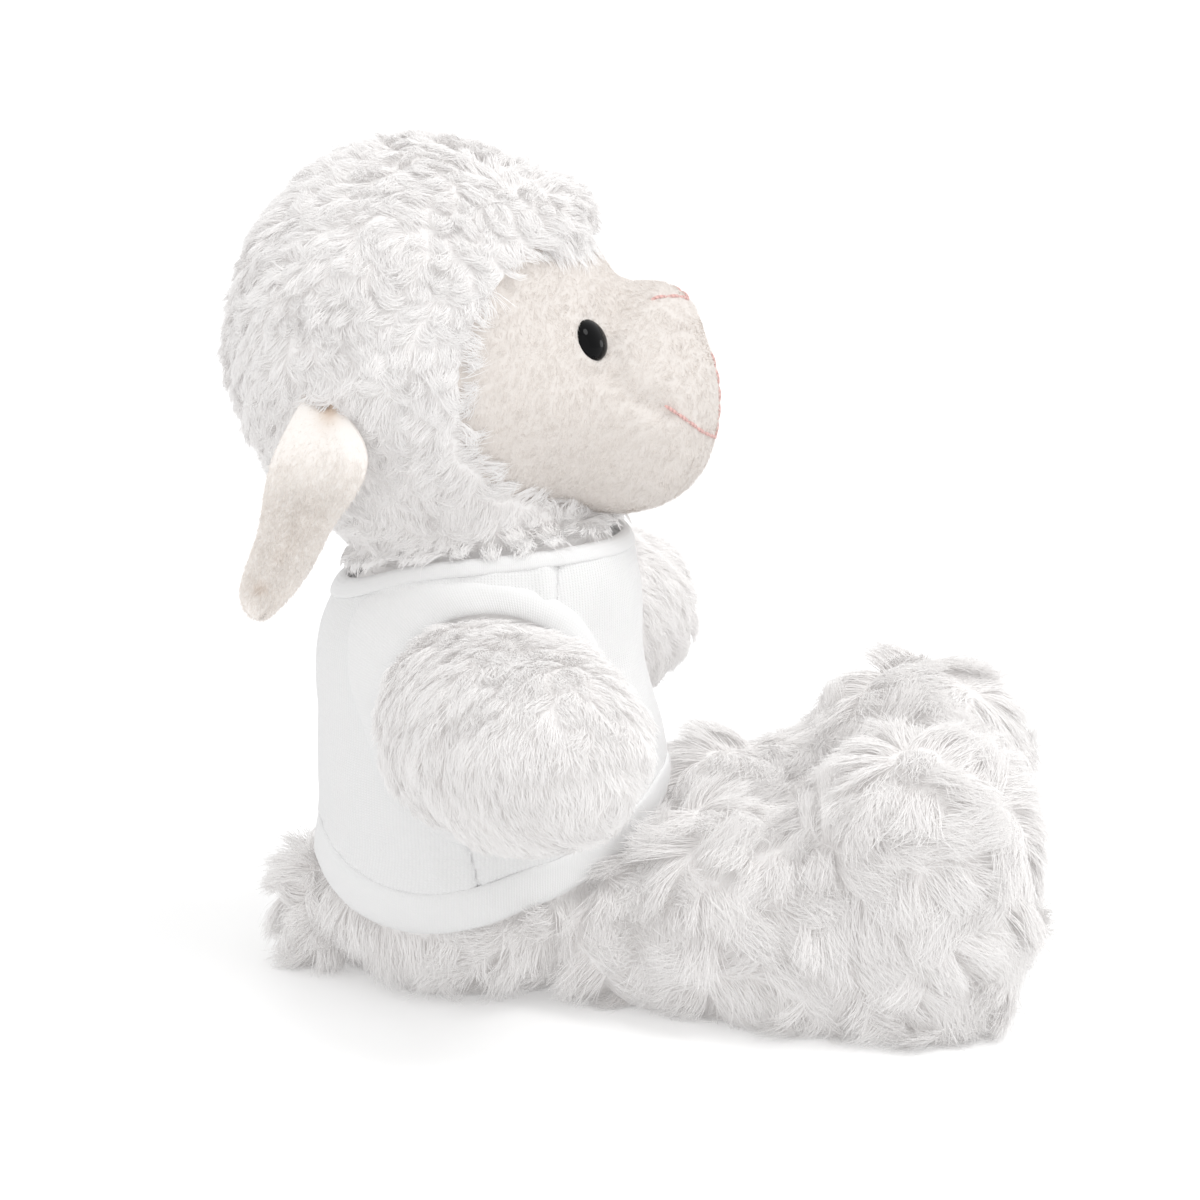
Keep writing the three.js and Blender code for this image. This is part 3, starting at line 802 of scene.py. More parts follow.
def jersey_group() -> Nodes:
    """A knit's rows of loops, from the place on the flat cloth.

    Returns:
        The group.
    """
    group, given, put = new_group(
        "Jersey knit",
        {
            "Place": ("NodeSocketVector", 0), "Wale": ("NodeSocketFloat", 0.7 * MM),
            "Course": ("NodeSocketFloat", 0.6 * MM)},
        {"Height": "NodeSocketFloat"})
    split = group.nodes.new("ShaderNodeSeparateXYZ")
    group.links.new(given["Place"], split.inputs[0])
    wander = sum_of(group, "MULTIPLY", noise(group, given["Place"], WANDER_FINENESS, 2), WANDER)
    wide = sum_of(group, "DIVIDE", sum_of(group, "ADD", split.outputs["X"], wander), given["Wale"])
    tall = sum_of(group, "DIVIDE", split.outputs["Y"], given["Course"])
    wale = sum_of(group, "ABSOLUTE", sum_of(group, "SINE", sum_of(group, "MULTIPLY", wide, math.pi)))
    slant = sum_of(group, "ADD", tall, sum_of(group, "MULTIPLY", wale, LOOP_SLANT))
    course = sum_of(group, "SINE", sum_of(group, "MULTIPLY", slant, 2 * math.pi))
    loops = sum_of(group, "MULTIPLY", sum_of(group, "MULTIPLY_ADD", course, 0.3, 0.7), wale)
    group.links.new(loops, put["Height"])
    return group


@dataclass(frozen=True)
class Finish:
    """A material's name and the values that all finishes share.

    Args:
        name: the material's name.
        colour: its main colour, linear.
        roughness: how dull it is.
        sheen: how much its fibres glow at the edges.
    """

    name: str
    colour: Point
    roughness: float
    sheen: float = 0.0
    sheen_spread: ClassVar[float] = 0.6

    def start(self) -> tuple[Material, Nodes, bpy.types.Node]:
        """A new material with the plain values set.

        Returns:
            The material, its tree and its Principled shader.
        """
        material = bpy.data.materials.new(self.name)
        material.use_nodes = True
        tree = material.node_tree
        shader = tree.nodes["Principled BSDF"]
        shader.inputs["Base Color"].default_value = (*self.colour, 1)
        shader.inputs["Roughness"].default_value = self.roughness
        shader.inputs["Sheen Weight"].default_value = self.sheen
        shader.inputs["Sheen Roughness"].default_value = self.sheen_spread
        return material, tree, shader

    def mixed(self, tree: Nodes, mask: Socket, low: Point, shader: bpy.types.Node) -> None:
        """Lets the colour run from a low one, of painted shade, to the main one.

        Args:
            tree: the material's tree.
            mask: how far it has run, from 0 to 1.
            low: the low colour, of painted shade.
            shader: the shader that takes it.
        """
        mix = tree.nodes.new("ShaderNodeMix")
        mix.data_type = "RGBA"
        mix.inputs["A"].default_value = (*low, 1)
        mix.inputs["B"].default_value = (*self.colour, 1)
        tree.links.new(mask, mix.inputs["Factor"])
        tree.links.new(mix.outputs["Result"], shader.inputs["Base Color"])

    def raised(self, tree: Nodes, height: Socket, shader: bpy.types.Node, depth: float) -> None:
        """Adds a relief.

        Args:
            tree: the material's tree.
            height: its height, from 0 to 1.
            shader: the shader that takes it.
            depth: how deep it is.
        """
        bump = tree.nodes.new("ShaderNodeBump")
        bump.inputs["Strength"].default_value = 1.0
        bump.inputs["Distance"].default_value = depth
        tree.links.new(height, bump.inputs["Height"])
        tree.links.new(bump.outputs["Normal"], shader.inputs["Normal"])


@dataclass(frozen=True)
class PileFinish(Finish):
    """Fur or short pile.

    Args:
        low: the painted shade colour between the tufts and at the roots.
        patch: how fine the uneven patches are.
        relief: the depth of the relief between fibres, or none.
        uneven: how much the patches show.
        glow: emission, painted light that stands in for the light scattering back from inside the pile.
    """

    low: Point = (0.6, 0.58, 0.57)
    patch: float = 90.0
    relief: float = 0.0
    uneven: float = 0.5
    glow: float = 0.0

    def made(self, group: Nodes) -> Material:
        """The material, shaded by the pile group.

        Args:
            group: the pile group.

        Returns:
            The material.
        """
        material, tree, shader = self.start()
        place = tree.nodes.new("ShaderNodeTexCoord").outputs["Object"]
        tone = tree.nodes.new("ShaderNodeAttribute")
        tone.attribute_name = TONE
        pile = tree.nodes.new("ShaderNodeGroup")
        pile.node_tree = group
        pile.inputs["Patch Size"].default_value = self.patch
        pile.inputs["Unevenness"].default_value = self.uneven
        # Painted light: the pile glows in its own colour by the glow's strength, in place of light scattered
        # back from inside it.
        shader.inputs["Emission Color"].default_value = (*self.colour, 1)
        shader.inputs["Emission Strength"].default_value = self.glow
        tree.links.new(place, pile.inputs["Place"])
        tree.links.new(tone.outputs["Fac"], pile.inputs["Tone"])
        # Painted shade: the colour runs down to the low one towards the roots and between the tufts.
        self.mixed(tree, pile.outputs["Mask"], self.low, shader)
        if self.relief:
            self.raised(tree, pile.outputs["Height"], shader, self.relief)
        return material


@dataclass(frozen=True)
class JerseyFinish(Finish):
    """Knitted cotton.

    Args:
        low: the painted shade colour in the hollows of the knit.
        relief: the depth of the loops.
        wale: the width of a column of loops.
        course: the height of a loop.
    """

    low: Point = (0.75, 0.75, 0.75)
    relief: float = 0.12 * MM
    wale: float = 0.7 * MM
    course: float = 0.6 * MM
    hollow_shade: ClassVar[float] = 0.6

    def made(self, group: Nodes) -> Material:
        """The material, with the jersey group's loops.

        Args:
            group: the jersey group.

        Returns:
            The material.
        """
        material, tree, shader = self.start()
        place = tree.nodes.new("ShaderNodeAttribute")
        place.attribute_name = PLACE
        knit = tree.nodes.new("ShaderNodeGroup")
        knit.node_tree = group
        knit.inputs["Wale"].default_value = self.wale
        knit.inputs["Course"].default_value = self.course
        tree.links.new(place.outputs["Vector"], knit.inputs["Place"])
        height = knit.outputs["Height"]
        # Painted shade: the knit is darker in the hollows between its loops.
        shade = sum_of(tree, "MULTIPLY_ADD", height, self.hollow_shade, 1 - self.hollow_shade)
        self.mixed(tree, shade, self.low, shader)
        self.raised(tree, height, shader, self.relief)
        return material


@dataclass(frozen=True)
class GlossFinish(Finish):
    """Moulded plastic with faint scuffs in its gloss.

    Args:
        gloss: how strongly it mirrors.
        scuffs: how much rougher the scuffs are.
    """

    gloss: float = 0.5
    scuffs: float = 0.06

    def made(self) -> Material:
        """The material, with an uneven roughness.

        Returns:
            The material.
        """
        material, tree, shader = self.start()
        shader.inputs["Specular IOR Level"].default_value = self.gloss
        place = tree.nodes.new("ShaderNodeTexCoord").outputs["Object"]
        scuffs = noise(tree, place, SCUFF_FINENESS, 4)
        scuffed = sum_of(tree, "MULTIPLY_ADD", scuffs, self.scuffs, self.roughness)
        tree.links.new(scuffed, shader.inputs["Roughness"])
        return material


@dataclass(frozen=True)
class ThreadFinish(Finish):
    """Spun thread with twisted plies.

    Args:
        low: the painted shade colour between the plies.
        ply: the length of one twist.
        relief: the height of a ply.
    """

    low: Point = (0.6, 0.35, 0.33)
    ply: float = 1.1 * MM
    relief: float = 0.15 * MM

    def made(self) -> Material:
        """The material, its plies slanting round the thread.

        Returns:
            The material.
        """
        material, tree, shader = self.start()
        place = tree.nodes.new("ShaderNodeAttribute")
        place.attribute_name = PLACE
        split = tree.nodes.new("ShaderNodeSeparateXYZ")
        tree.links.new(place.outputs["Vector"], split.inputs[0])
        along = sum_of(tree, "DIVIDE", split.outputs["X"], self.ply)
        twist = sum_of(tree, "ADD", along, split.outputs["Y"])
        ridge = sum_of(tree, "ABSOLUTE", sum_of(tree, "SINE", sum_of(tree, "MULTIPLY", twist, math.pi)))
        # Painted shade: the thread is darker between its plies.
        self.mixed(tree, ridge, self.low, shader)
        self.raised(tree, ridge, shader, self.relief)
        return material


@dataclass(frozen=True)
class Finishes:
    """Every material of the lamb."""

    fur: Material
    face: Material
    lining: Material
    tee: Material
    rib: Material
    eye: Material
    washer: Material
    thread: Material
    filling: Material

    @staticmethod
    def made() -> "Finishes":
        """Builds the shared groups once, and each material from them.

        Returns:
            The materials.
        """
        pile, jersey = pile_group(), jersey_group()
        # The low colours of the fur, face, ear pile, jersey, rib and thread are painted shade: at the pile's
        # roots and between its tufts, in the ear's hollows, in the knit's hollows and between the thread's
        # plies. The glows are emission, painted light for the light scattered back from inside the pile.
        fur = PileFinish(
            "Curly fur", (0.945, 0.932, 0.926), roughness=0.9, sheen=0.3, low=(0.91, 0.89, 0.88), patch=130,
            glow=0.09)
        face = PileFinish(
            "Short cream pile", (0.8, 0.755, 0.718), roughness=0.85, sheen=0.2, low=(0.77, 0.723, 0.685),
            patch=160, relief=0.03 * MM, uneven=0.2, glow=0.04)
        # The ear pile's brownish low colour is the painted shade in the ear's hollows.
        lining = PileFinish(
            "Ear pile", (0.93, 0.898, 0.868), roughness=0.85, sheen=0.2, low=(0.62, 0.45, 0.32), patch=120,
            relief=0.05 * MM, uneven=0.12)
        tee = JerseyFinish(
            "White jersey", (0.925, 0.925, 0.925), roughness=0.85, sheen=0.1, low=(0.85, 0.85, 0.85),
            relief=0.1 * MM, wale=0.9 * MM)
        rib = JerseyFinish(
            "White rib band", (0.92, 0.92, 0.92), roughness=0.85, sheen=0.1, low=(0.88, 0.88, 0.88),
            relief=0.06 * MM, wale=0.6 * MM)
        filling = PileFinish(
            "Fibre filling", (0.85, 0.85, 0.82), roughness=0.95, low=(0.7, 0.7, 0.67), patch=300)
        return Finishes(
            fur=fur.made(pile),
            face=face.made(pile),
            lining=lining.made(pile),
            tee=tee.made(jersey),
            rib=rib.made(jersey),
            eye=GlossFinish("Black eye", (0.002, 0.002, 0.0025), roughness=0.05, gloss=0.12).made(),
            washer=GlossFinish("White plastic", (0.75, 0.75, 0.72), roughness=0.4).made(),
            thread=ThreadFinish("Pink thread", (0.86, 0.52, 0.48), roughness=0.6, sheen=0.2).made(),
            filling=filling.made(pile),
        )


# Forms that the pieces share, with the sizes of the CAD source

TORSO = Form((
    Lump(mm(0, -1, 50), mm(43, 40.5, 42)),
    Lump(mm(0, 2.5, 24), mm(43, 38.5, 27)),
    Lump(mm(0, 3.5, 74), mm(38, 36.5, 32)),
    Lump(mm(0, -1.5, 92), mm(34.5, 33.5, 34)),
))
NECK_POINT = mm(0, 3, 112)
HEAD_MIDDLE = mm(0, 15.6, 149.5)
HEAD = Form((Lump(HEAD_MIDDLE, mm(46.5, 43, 46)), ball(NECK_POINT, 27.9 * MM)))
QUIFF = Lump(mm(0, -11, 177), mm(22, 12, 9.5))
FURRY_HEAD = Form((*HEAD.lumps, QUIFF))
MUZZLE = Lump(mm(0, -32.5, 137.5), mm(24, 20.5, 22))
CHEEKS = Lump(mm(0, 1.5, 141), mm(40, 35, 31))
FACE = Form((
    CHEEKS,
    Lump(mm(0, -1, 159), mm(28, 27, 22)),
    MUZZLE,
    Lump(mm(0, -30, 125.5), mm(20, 19.5, 14.5)),
    Lump(mm(0, -38.5, 154.5), mm(12, 8.5, 8)),
    Lump(HEAD_MIDDLE, mm(43.7, 40.2, 43.2)),
))

# The face's window in the fur, seen from the side: its middle and half sizes over depth and height
WINDOW_MIDDLE = (-30 * MM, 146 * MM)
WINDOW_HALF = (31 * MM, 33 * MM)

# The tee's edges seen from the side, in shares of the belly's depth and of the tee's height
TEE_HEIGHT = 106.5 * MM
EDGE_DEPTH = 40.5 * MM
HEM = (
    (1.25, 0.34), (1, 0.28), (0.73, 0.216), (0.37, 0.187), (0, 0.207), (-0.27, 0.24), (-0.58, 0.28),
    (-0.88, 0.345), (-1.03, 0.4), (-1.3, 0.5),
)
COLLAR = ((1.25, 0.85), (0.85, 0.89), (0.37, 0.965), (-0.15, 0.995), (-0.7, 1), (-1.25, 0.97))

# Where an arm turns: how far inside the tee, and how far out
SHOULDER_INSIDE = mm(0, -3, 70.5)
SHOULDER_OUT = 7 * MM

# The middle that an armhole's seam is measured from, over depth and height
SEAM_MIDDLE = np.array([0, 71 * MM])


def window_share(points: Array) -> Array:
    """How far out points lie in the face's window, seen from the side.

    Args:
        points: places on the head.

    Returns:
        A share for each, 1 on the window's edge and less inside.
    """
    back = np.maximum(points[:, 1] - WINDOW_MIDDLE[0], 0) / WINDOW_HALF[0]
    up = (points[:, 2] - WINDOW_MIDDLE[1]) / WINDOW_HALF[1]
    return np.hypot(back, up)


def tee_edge(shares: Outline) -> Shift:
    """An edge of the tee seen from the side, as height over depth.

    Args:
        shares: points of the edge, in shares of the belly's depth and the tee's height.

    Returns:
        A function from depths (back is +) to heights.
    """
    given = np.array(shares)
    last = len(given) - 1
    at = np.linspace(0, last, 8 * last + 1)
    start = np.minimum(at.astype(int), last - 1)
    part = (at - start)[:, None]
    p0, p1 = given[np.maximum(start - 1, 0)], given[start]
    p2, p3 = given[start + 1], given[np.minimum(start + 2, last)]
    m1, m2 = (p2 - p0) / 2, (p3 - p1) / 2
    curve = (2 * p1 - 2 * p2 + m1 + m2) * part**3 + (3 * p2 - 3 * p1 - 2 * m1 - m2) * part**2 + m1 * part + p1
    back, up = curve[::-1, 0] * EDGE_DEPTH, curve[::-1, 1] * TEE_HEIGHT
    return lambda depth: np.interp(depth, back, up)


HEM_EDGE = tee_edge(HEM)
COLLAR_EDGE = tee_edge(COLLAR)


def shoulder_point(side: Side) -> Array:
    """The point that an arm turns about."""
    out = TORSO.surface(np.array([SHOULDER_INSIDE]), np.array([[side.value, 0, 0]], float))[0]
    return out + np.array([side.value * SHOULDER_OUT, 0, 0])


# The pieces


def swayed(down: Point, size: float, strength: float, seed: int) -> Shift:
    """A brushing direction that drifts from place to place."""
    return lambda points: np.array(down) + strength * Ripple(size, seed).at(points, 3)


def dressed(piece: Piece, body: str, slot: str, *nodes: str) -> Piece:
    """Puts a piece on its body, in place of its CAD nodes, and reports it.

    Args:
        piece: the piece.
        body: the CAD body that it rides on.
        slot: not used.
        nodes: the CAD nodes that it stands for.

    Returns:
        The piece.
    """
    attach(piece, body)
    if nodes:
        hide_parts(*nodes)
    log.info("%s on %s: %d faces", piece.name, body, len(piece.data.polygons))
    return piece


# The direction in which a part's tufts are shared out to its pieces
SHARING_WAY = (0.2, 0.3, 1.0)


@dataclass
class FurPart:
    """A stuffed part in curly fur: a soft skin, and the tufts that grow on it.

    Args:
        name: the part's name.
        body: the body that it rides on.
        nodes: the CAD nodes that it stands for.
        skin: its surface.
        pile: its fur.
        flow: the direction in which the fur is brushed.
        seed: chooses its tufts.
        parted: how many pieces the tufts are shared out to.
        sunk: how far the skin lies under the form, so that the tufts fill the form.
        lumpiness: the height of its soft hills.
        keep: which places grow tufts.
        share: how long the tufts are at a place.
        clear: moves the tufts clear of what they hang over.
        shape: a last change to the skin.
        hill: the height of the skin's hills under the tufts.
        hill_share: their width, as a share of the tufts' distance.
        soft_size: how far apart the soft hills are.
        tones: the skin's painted shade tone between the tufts, and how much lighter it is under them.
        skin_low: how near the skin may come to the floor.
        tips_low: how near the tufts may come, and how much higher some of them stop.
    """

    name: str
    body: str
    nodes: tuple[str, ...]
    skin: Skin
    pile: Pile
    flow: Shift
    seed: int
    parted: int = 1
    sunk: float = 0.4 * MM
    lumpiness: float = 0.8 * MM
    keep: Shift | None = None
    share: Shift | None = None
    clear: Shift | None = None
    shape: Shift | None = None
    hill: float = 0.7 * MM
    hill_share: float = 0.55
    soft_size: float = 14 * MM
    tones: Pair = (0.35, 0.3)
    skin_low: float = 0.6 * MM
    tips_low: Pair = (0.3 * MM, 0.4 * MM)

    def centres(self, rings: Array, rng: Random) -> Array:
        """The middles of the tufts."""
        cloth = grid_cloth(rings)
        return scatter(cloth, int(cloth.areas().sum() / self.pile.tuft**2), rng)

    def surface(self, rings: Array, centres: Array) -> Cloth:
        """The soft skin under the tufts, with a small hill under each.

        Args:
            rings: rows of points over the part.
            centres: the middles of the tufts.

        Returns:
            The mesh.
        """
        flat = rings.reshape(-1, 3)
        _, away = nearest(flat, centres)
        hill = np.exp(-((away / (self.hill_share * self.pile.tuft)) ** 2)) - 0.5
        rise = Ripple(self.soft_size, self.seed).at(flat)[:, 0] * self.lumpiness + hill * self.hill
        flat = flat + self.skin.form.outward(flat) * rise[:, None]
        if self.shape is not None:
            flat = self.shape(flat)
        flat[:, 2] = np.maximum(flat[:, 2], self.skin_low)
        cloth = grid_cloth(flat.reshape(rings.shape), capped=True)
        # Painted shade: the skin is darker between the tufts and lighter on the hills under them.
        cloth.tone[:] = self.tones[0] + self.tones[1] * (hill + 0.5)
        return cloth

    def tufts(self, cloth: Cloth, centres: Array, rng: Random) -> list[Cloth]:
        """The tufts, shared out to one or more meshes.

        Args:
            cloth: the skin that they grow on.
            centres: the middles of the tufts.
            rng: the source of chance.

        Returns:
            The meshes, from the part's foot up.
        """
        roots = scatter(cloth, int(cloth.areas().sum() * self.pile.density), rng)
        if self.keep is not None:
            roots = roots[self.keep(roots)]
        lines, lit = self.pile.grown(roots, centres, self.skin.form, self.flow, rng, self.share)
        count, places = lines.shape[:2]
        flat = lines[:, 1:].reshape(-1, 3)
        if self.clear is not None:
            flat = self.clear(flat)
        floor = self.tips_low[0] + self.tips_low[1] * rng.random(len(flat))
        flat[:, 2] = np.maximum(flat[:, 2], floor)
        lines[:, 1:] = flat.reshape(count, places - 1, 3)
        order = np.argsort(roots @ np.array(SHARING_WAY))
        return [self.pile.cloth(lines[part], lit[part], rng) for part in np.array_split(order, self.parted)]

    def build(self, material: Material) -> Piece:
        """Makes the skin and its tufts.

        Args:
            material: the fur's finish.

        Returns:
            The skin, which the tufts go with.
        """
        rng = np.random.default_rng(self.seed)
        rings = self.skin.rings(-self.sunk)
        centres = self.centres(rings, rng)
        cloth = self.surface(rings, centres)
        skin = dressed(make_object(f"{self.name}_skin_fur", cloth, material), self.body, "fur", *self.nodes)
        for index, tufts in enumerate(self.tufts(cloth, centres, rng), 1):
            dressed(make_object(f"{self.name}_tufts_{index}", tufts, material), self.body, "fur")
        return skin


HEAD_PILE = Pile(
    density=4.1e6, length=5.1 * MM, width=0.2 * MM, tuft=3.5 * MM, gather=0.65, lean=(44, 88), spread=0.6,
    curl=1.0, relief=0.22)
ARM_PILE = Pile(
    density=4.2e6, length=5.4 * MM, width=0.2 * MM, tuft=3.4 * MM, gather=0.25, lean=(50, 88), spread=0.35,
    curl=0.4, relief=0.15)
LEG_PILE = Pile(
    density=3.4e6, length=11 * MM, width=0.23 * MM, tuft=6.5 * MM, gather=0.5, lean=(48, 88), spread=0.55,
    curl=0.55, pieces=4, relief=0.2)
BODY_PILE = Pile(
    density=3.2e6, length=10.5 * MM, width=0.25 * MM, tuft=6 * MM, gather=0.5, lean=(44, 86), spread=0.7,
    curl=0.6, pieces=4, relief=0.2)
TAIL_PILE = Pile(
    density=6e6, length=10.5 * MM, width=0.26 * MM, tuft=3.4 * MM, gather=0.8, lean=(15, 65), curl=0.7)
SHORT_PILE = Pile(
    density=7.5e6, length=1.0 * MM, width=0.11 * MM, tuft=2.5 * MM, gather=0.1, lean=(45, 70), spread=0.4,
    curl=0.4, pieces=1, relief=0.12, rounded=False)

# How far fur lies off the tee, and from where to where about the neck edge it gives way to it
OFF_TEE = 1.6 * MM
NECK_EDGE_REACH = (-7 * MM, 0.3 * MM)


def off_tee(points: Array) -> Array:
    """Points of fur moved out of the tee, below its neck edge."""
    below = smooth(*NECK_EDGE_REACH, COLLAR_EDGE(points[:, 1]) - points[:, 2])
    return points + (TORSO.pushed_out(points, OFF_TEE) - points) * below[:, None]


@dataclass
class Head:
    """The head: furry cap, short-pile face, eyes and stitched nose and mouth.

    Args:
        cap_edge: where the cap's fur starts, as a share of the window.
        cap_in: the shares where the cap is drawn in under the face.
        cap_out: the shares where it is lifted off the face.
        fringe: the tufts' length at the tee's neck edge, as a share.
        fringe_reach: how high over the neck edge they are whole.
        face_edge: the shares where the face is drawn in.
        crease: the crease before each eye, as (y, z) in millimetres.
        crease_sides: where it starts and is whole, off the lamb's middle.
        lid_radius: how far from the eye's axis its lid runs.
        nap_edge: how far out in the window the face's nap grows.
        nap_fibres: how many places are tried, and how many are kept at most.
        eye_side_share: how far the eyes look aside, as a share of the face.
        nose: the nose's line, as directions in shares of the muzzle's half sizes.
        mouth: the mouth's line, in the same shares.
        lip: the line from the nose down to the mouth.
    """

    finishes: Finishes
    spine: Spine = field(default=Spine((NECK_POINT, HEAD_MIDDLE)))
    face_spine: Spine = field(default=Spine((CHEEKS.middle, MUZZLE.middle)))
    cap_edge: float = 1.05
    cap_in: Pair = (0.98, 1.05)
    cap_out: Pair = (1.05, 1.12)
    cap_under: float = 6 * MM
    cap_lift: float = 0.2 * MM
    tuft_lift: float = 0.5 * MM
    fringe: float = 0.8
    fringe_reach: float = 6 * MM
    face_edge: Pair = (1.07, 1.17)
    face_under: float = 1.2 * MM
    crease: Outline = (
        (-33, 166), (-29.6, 162), (-29.2, 154), (-29.6, 147), (-34, 142), (-41, 138))
    crease_width: float = 3 * MM
    crease_depth: float = 1.5 * MM
    crease_sides: Pair = (6 * MM, 15 * MM)
    lid_radius: float = 5.6 * MM
    lid_width: float = 1.3 * MM
    lid_height: float = 1.0 * MM
    nap_edge: float = 1.1
    nap_fibres: tuple[int, int] = (165000, 99000)
    nap_tufts: int = 2600
    eye_radius: float = 5 * MM
    eye_dome: float = 3.6 * MM
    eye_rim: float = 0.7 * MM
    eye_round: float = 0.2 * MM
    eye_sunk: float = 1.3 * MM
    shank_radius: float = 1.5 * MM
    shank_length: float = 9 * MM
    eye_across: float = 22.4 * MM
    eye_up: float = 154.02 * MM
    eye_side_share: float = 0.6
    thread_radius: float = 0.42 * MM
    stitch: float = 4 * MM
    thread_sides: int = 12
    nose: tuple[Point, ...] = (
        (-0.37, -0.26, 1), (-0.23, -0.47, 1), (0, -0.68, 1), (0.23, -0.47, 1), (0.37, -0.26, 1))
    mouth: tuple[Point, ...] = (
        (-0.86, -0.45, 0.06), (-0.5, -0.8, -0.26), (0, -1, -0.46), (0.5, -0.8, -0.26), (0.86, -0.45, 0.06))
    lip: tuple[Point, ...] = ((0, -1, -0.46), (0, -1.1, 0.1), (0, -1, 0.5))

    def cap_flow(self, points: Array) -> Array:
        """How the cap's fur is brushed: down and back, and over the edge of the face.

        Args:
            points: places on the cap.

        Returns:
            A direction for each.
        """
        drift = Ripple(24 * MM, 5).at(points, 3)
        edge = 1 - smooth(1.0, 1.25, window_share(points))
        inward = np.array([0.0, *WINDOW_MIDDLE]) - points
        inward[:, 0] = 0
        down = np.array([0, 0.25, -0.8]) * (1 - edge)[:, None]
        return down + 0.55 * drift + 1.2 * edge[:, None] * unit(inward)

    def quiff_share(self, points: Array) -> Array:
        """How far points belong to the tuft over the forehead, from 0 to 1."""
        return 1 - smooth(0, 1.5 * MM, QUIFF.distance(points))

    def cap_shape(self, points: Array) -> Array:
        """Draws the cap in under the face's edge, and lifts it off the face outside.

        Args:
            points: places on the cap.

        Returns:
            The places, moved.
        """
        inside = (1 - smooth(*self.cap_in, window_share(points))) * (1 - self.quiff_share(points))
        drawn = points - FURRY_HEAD.outward(points) * (inside * self.cap_under)[:, None]
        outside = smooth(*self.cap_out, window_share(points))
        return drawn + (FACE.pushed_out(drawn, self.cap_lift) - drawn) * outside[:, None]

    def cap_clear(self, points: Array) -> Array:
        """Lifts the cap's tufts off the face's edge and off the tee."""
        return off_tee(FACE.pushed_out(points, self.tuft_lift))

    def cap_keep(self, points: Array) -> Array:
        """Whether tufts grow at points: outside the window or on the quiff, and over the tee's neck edge."""
        furry = (window_share(points) > self.cap_edge) | (self.quiff_share(points) > 0.5)
        return furry & (points[:, 2] > COLLAR_EDGE(points[:, 1]) - 0.5 * MM)

    def cap_share(self, points: Array) -> Array:
        """How long the tufts are, shorter at the tee's neck edge."""
        over = points[:, 2] - COLLAR_EDGE(points[:, 1])
        return self.fringe + (1 - self.fringe) * smooth(0, self.fringe_reach, over)

    def build_cap(self) -> None:
        """Makes the furry cap with the filling inside."""
        cap = FurPart(
            "head", "head", ("head_skin", "head_stuffing"), Skin(FURRY_HEAD, self.spine, 176, 24, 52),
            HEAD_PILE, self.cap_flow, 11, parted=3, keep=self.cap_keep, share=self.cap_share,
            clear=self.cap_clear, shape=self.cap_shape)
        cap.build(self.finishes.fur)

    def round_eye(self, side: Side, points: Array) -> tuple[Array, Array, Array]:
        """Where points lie beside an eye.

        Args:
            side: which eye it is.
            points: places on the face.

        Returns:
            Their offset from the eye, how far out they lie, and how far from its axis.
        """
        at, out = self.eye_place(side)
        off = points - at
        height = off @ out
        return off, height, np.linalg.norm(off - out * height[:, None], axis=1)

    def face_points(self, points: Array) -> Array:
        """Pulls the face in at its seams, under the cap, and along the crease before each eye.

        Args:
            points: places on the face.

        Returns:
            The places, moved.
        """
        outside = smooth(*self.face_edge, window_share(points))
        route = np.array(self.crease) * MM
        line = read_off(np.linspace(0, len(route) - 1, 40), np.arange(len(route)), route)
        away = np.min(np.hypot(points[:, 1:2] - line[:, 0], points[:, 2:3] - line[:, 1]), axis=1)
        groove = np.exp(-((away / self.crease_width) ** 2)) * smooth(*self.crease_sides, np.abs(points[:, 0]))
        drawn = outside * self.face_under + groove * self.crease_depth
        moved = points - FACE.outward(points) * drawn[:, None]
        for side in Side:
            off, height, away = self.round_eye(side, points)
            near = np.abs(height) < 8 * MM
            behind = 0.6 + 0.4 * np.clip((off[:, 1] - off[:, 2]) / (5 * MM), -1, 1)
            lid = np.exp(-(((away - self.lid_radius) / self.lid_width) ** 2)) * near * behind
            moved += self.eye_place(side)[1] * (lid * self.lid_height)[:, None]
        return moved

    def build_face(self) -> None:
        """Makes the face with its nap of short fibres."""
        rings = Skin(FACE, self.face_spine, 208, 28, 76).rings()
        flat = self.face_points(rings.reshape(-1, 3))
        cloth = grid_cloth(flat.reshape(rings.shape), capped=True)
        # Painted shade: the face's skin under the nap is a little darker than the nap's tips.
        cloth.tone[:] = 0.75
        face = dressed(make_object("face_skin", cloth, self.finishes.face), "head", "face", "face_panel")
        rng = np.random.default_rng(21)
        tried, most = self.nap_fibres
        roots = scatter(cloth, tried, rng)
        roots = roots[window_share(roots) < self.nap_edge]
        for side in Side:
            _, height, away = self.round_eye(side, roots)
            roots = roots[(away > self.eye_radius - 0.5 * MM) | (height < -4 * MM)]
        roots = roots[:most]
        centres = scatter(cloth, self.nap_tufts, rng)
        lines, lit = SHORT_PILE.grown(roots, centres, FACE, swayed((0, 0.7, -0.7), 16 * MM, 0.5, 8), rng)
        # Painted shade at the nap's roots, lighter towards the tips.
        nap = SHORT_PILE.cloth(lines, lit, rng, 0.8, 1.0)
        dressed(make_object("face_nap", nap, self.finishes.face), "head", "face")

    def eye_place(self, side: Side) -> tuple[Array, Array]:
        """Where an eye sits, and the direction that it looks.

        Args:
            side: which eye it is.

        Returns:
            The place and the direction.
        """
        start = np.array([[side.value * self.eye_across, CHEEKS.middle[1], self.eye_up]])
        at = FACE.surface(start, np.array([[0.0, -1.0, 0.0]]))
        out = FACE.outward(at)
        out[:, 0] *= self.eye_side_share
        return at[0], unit(out)[0]

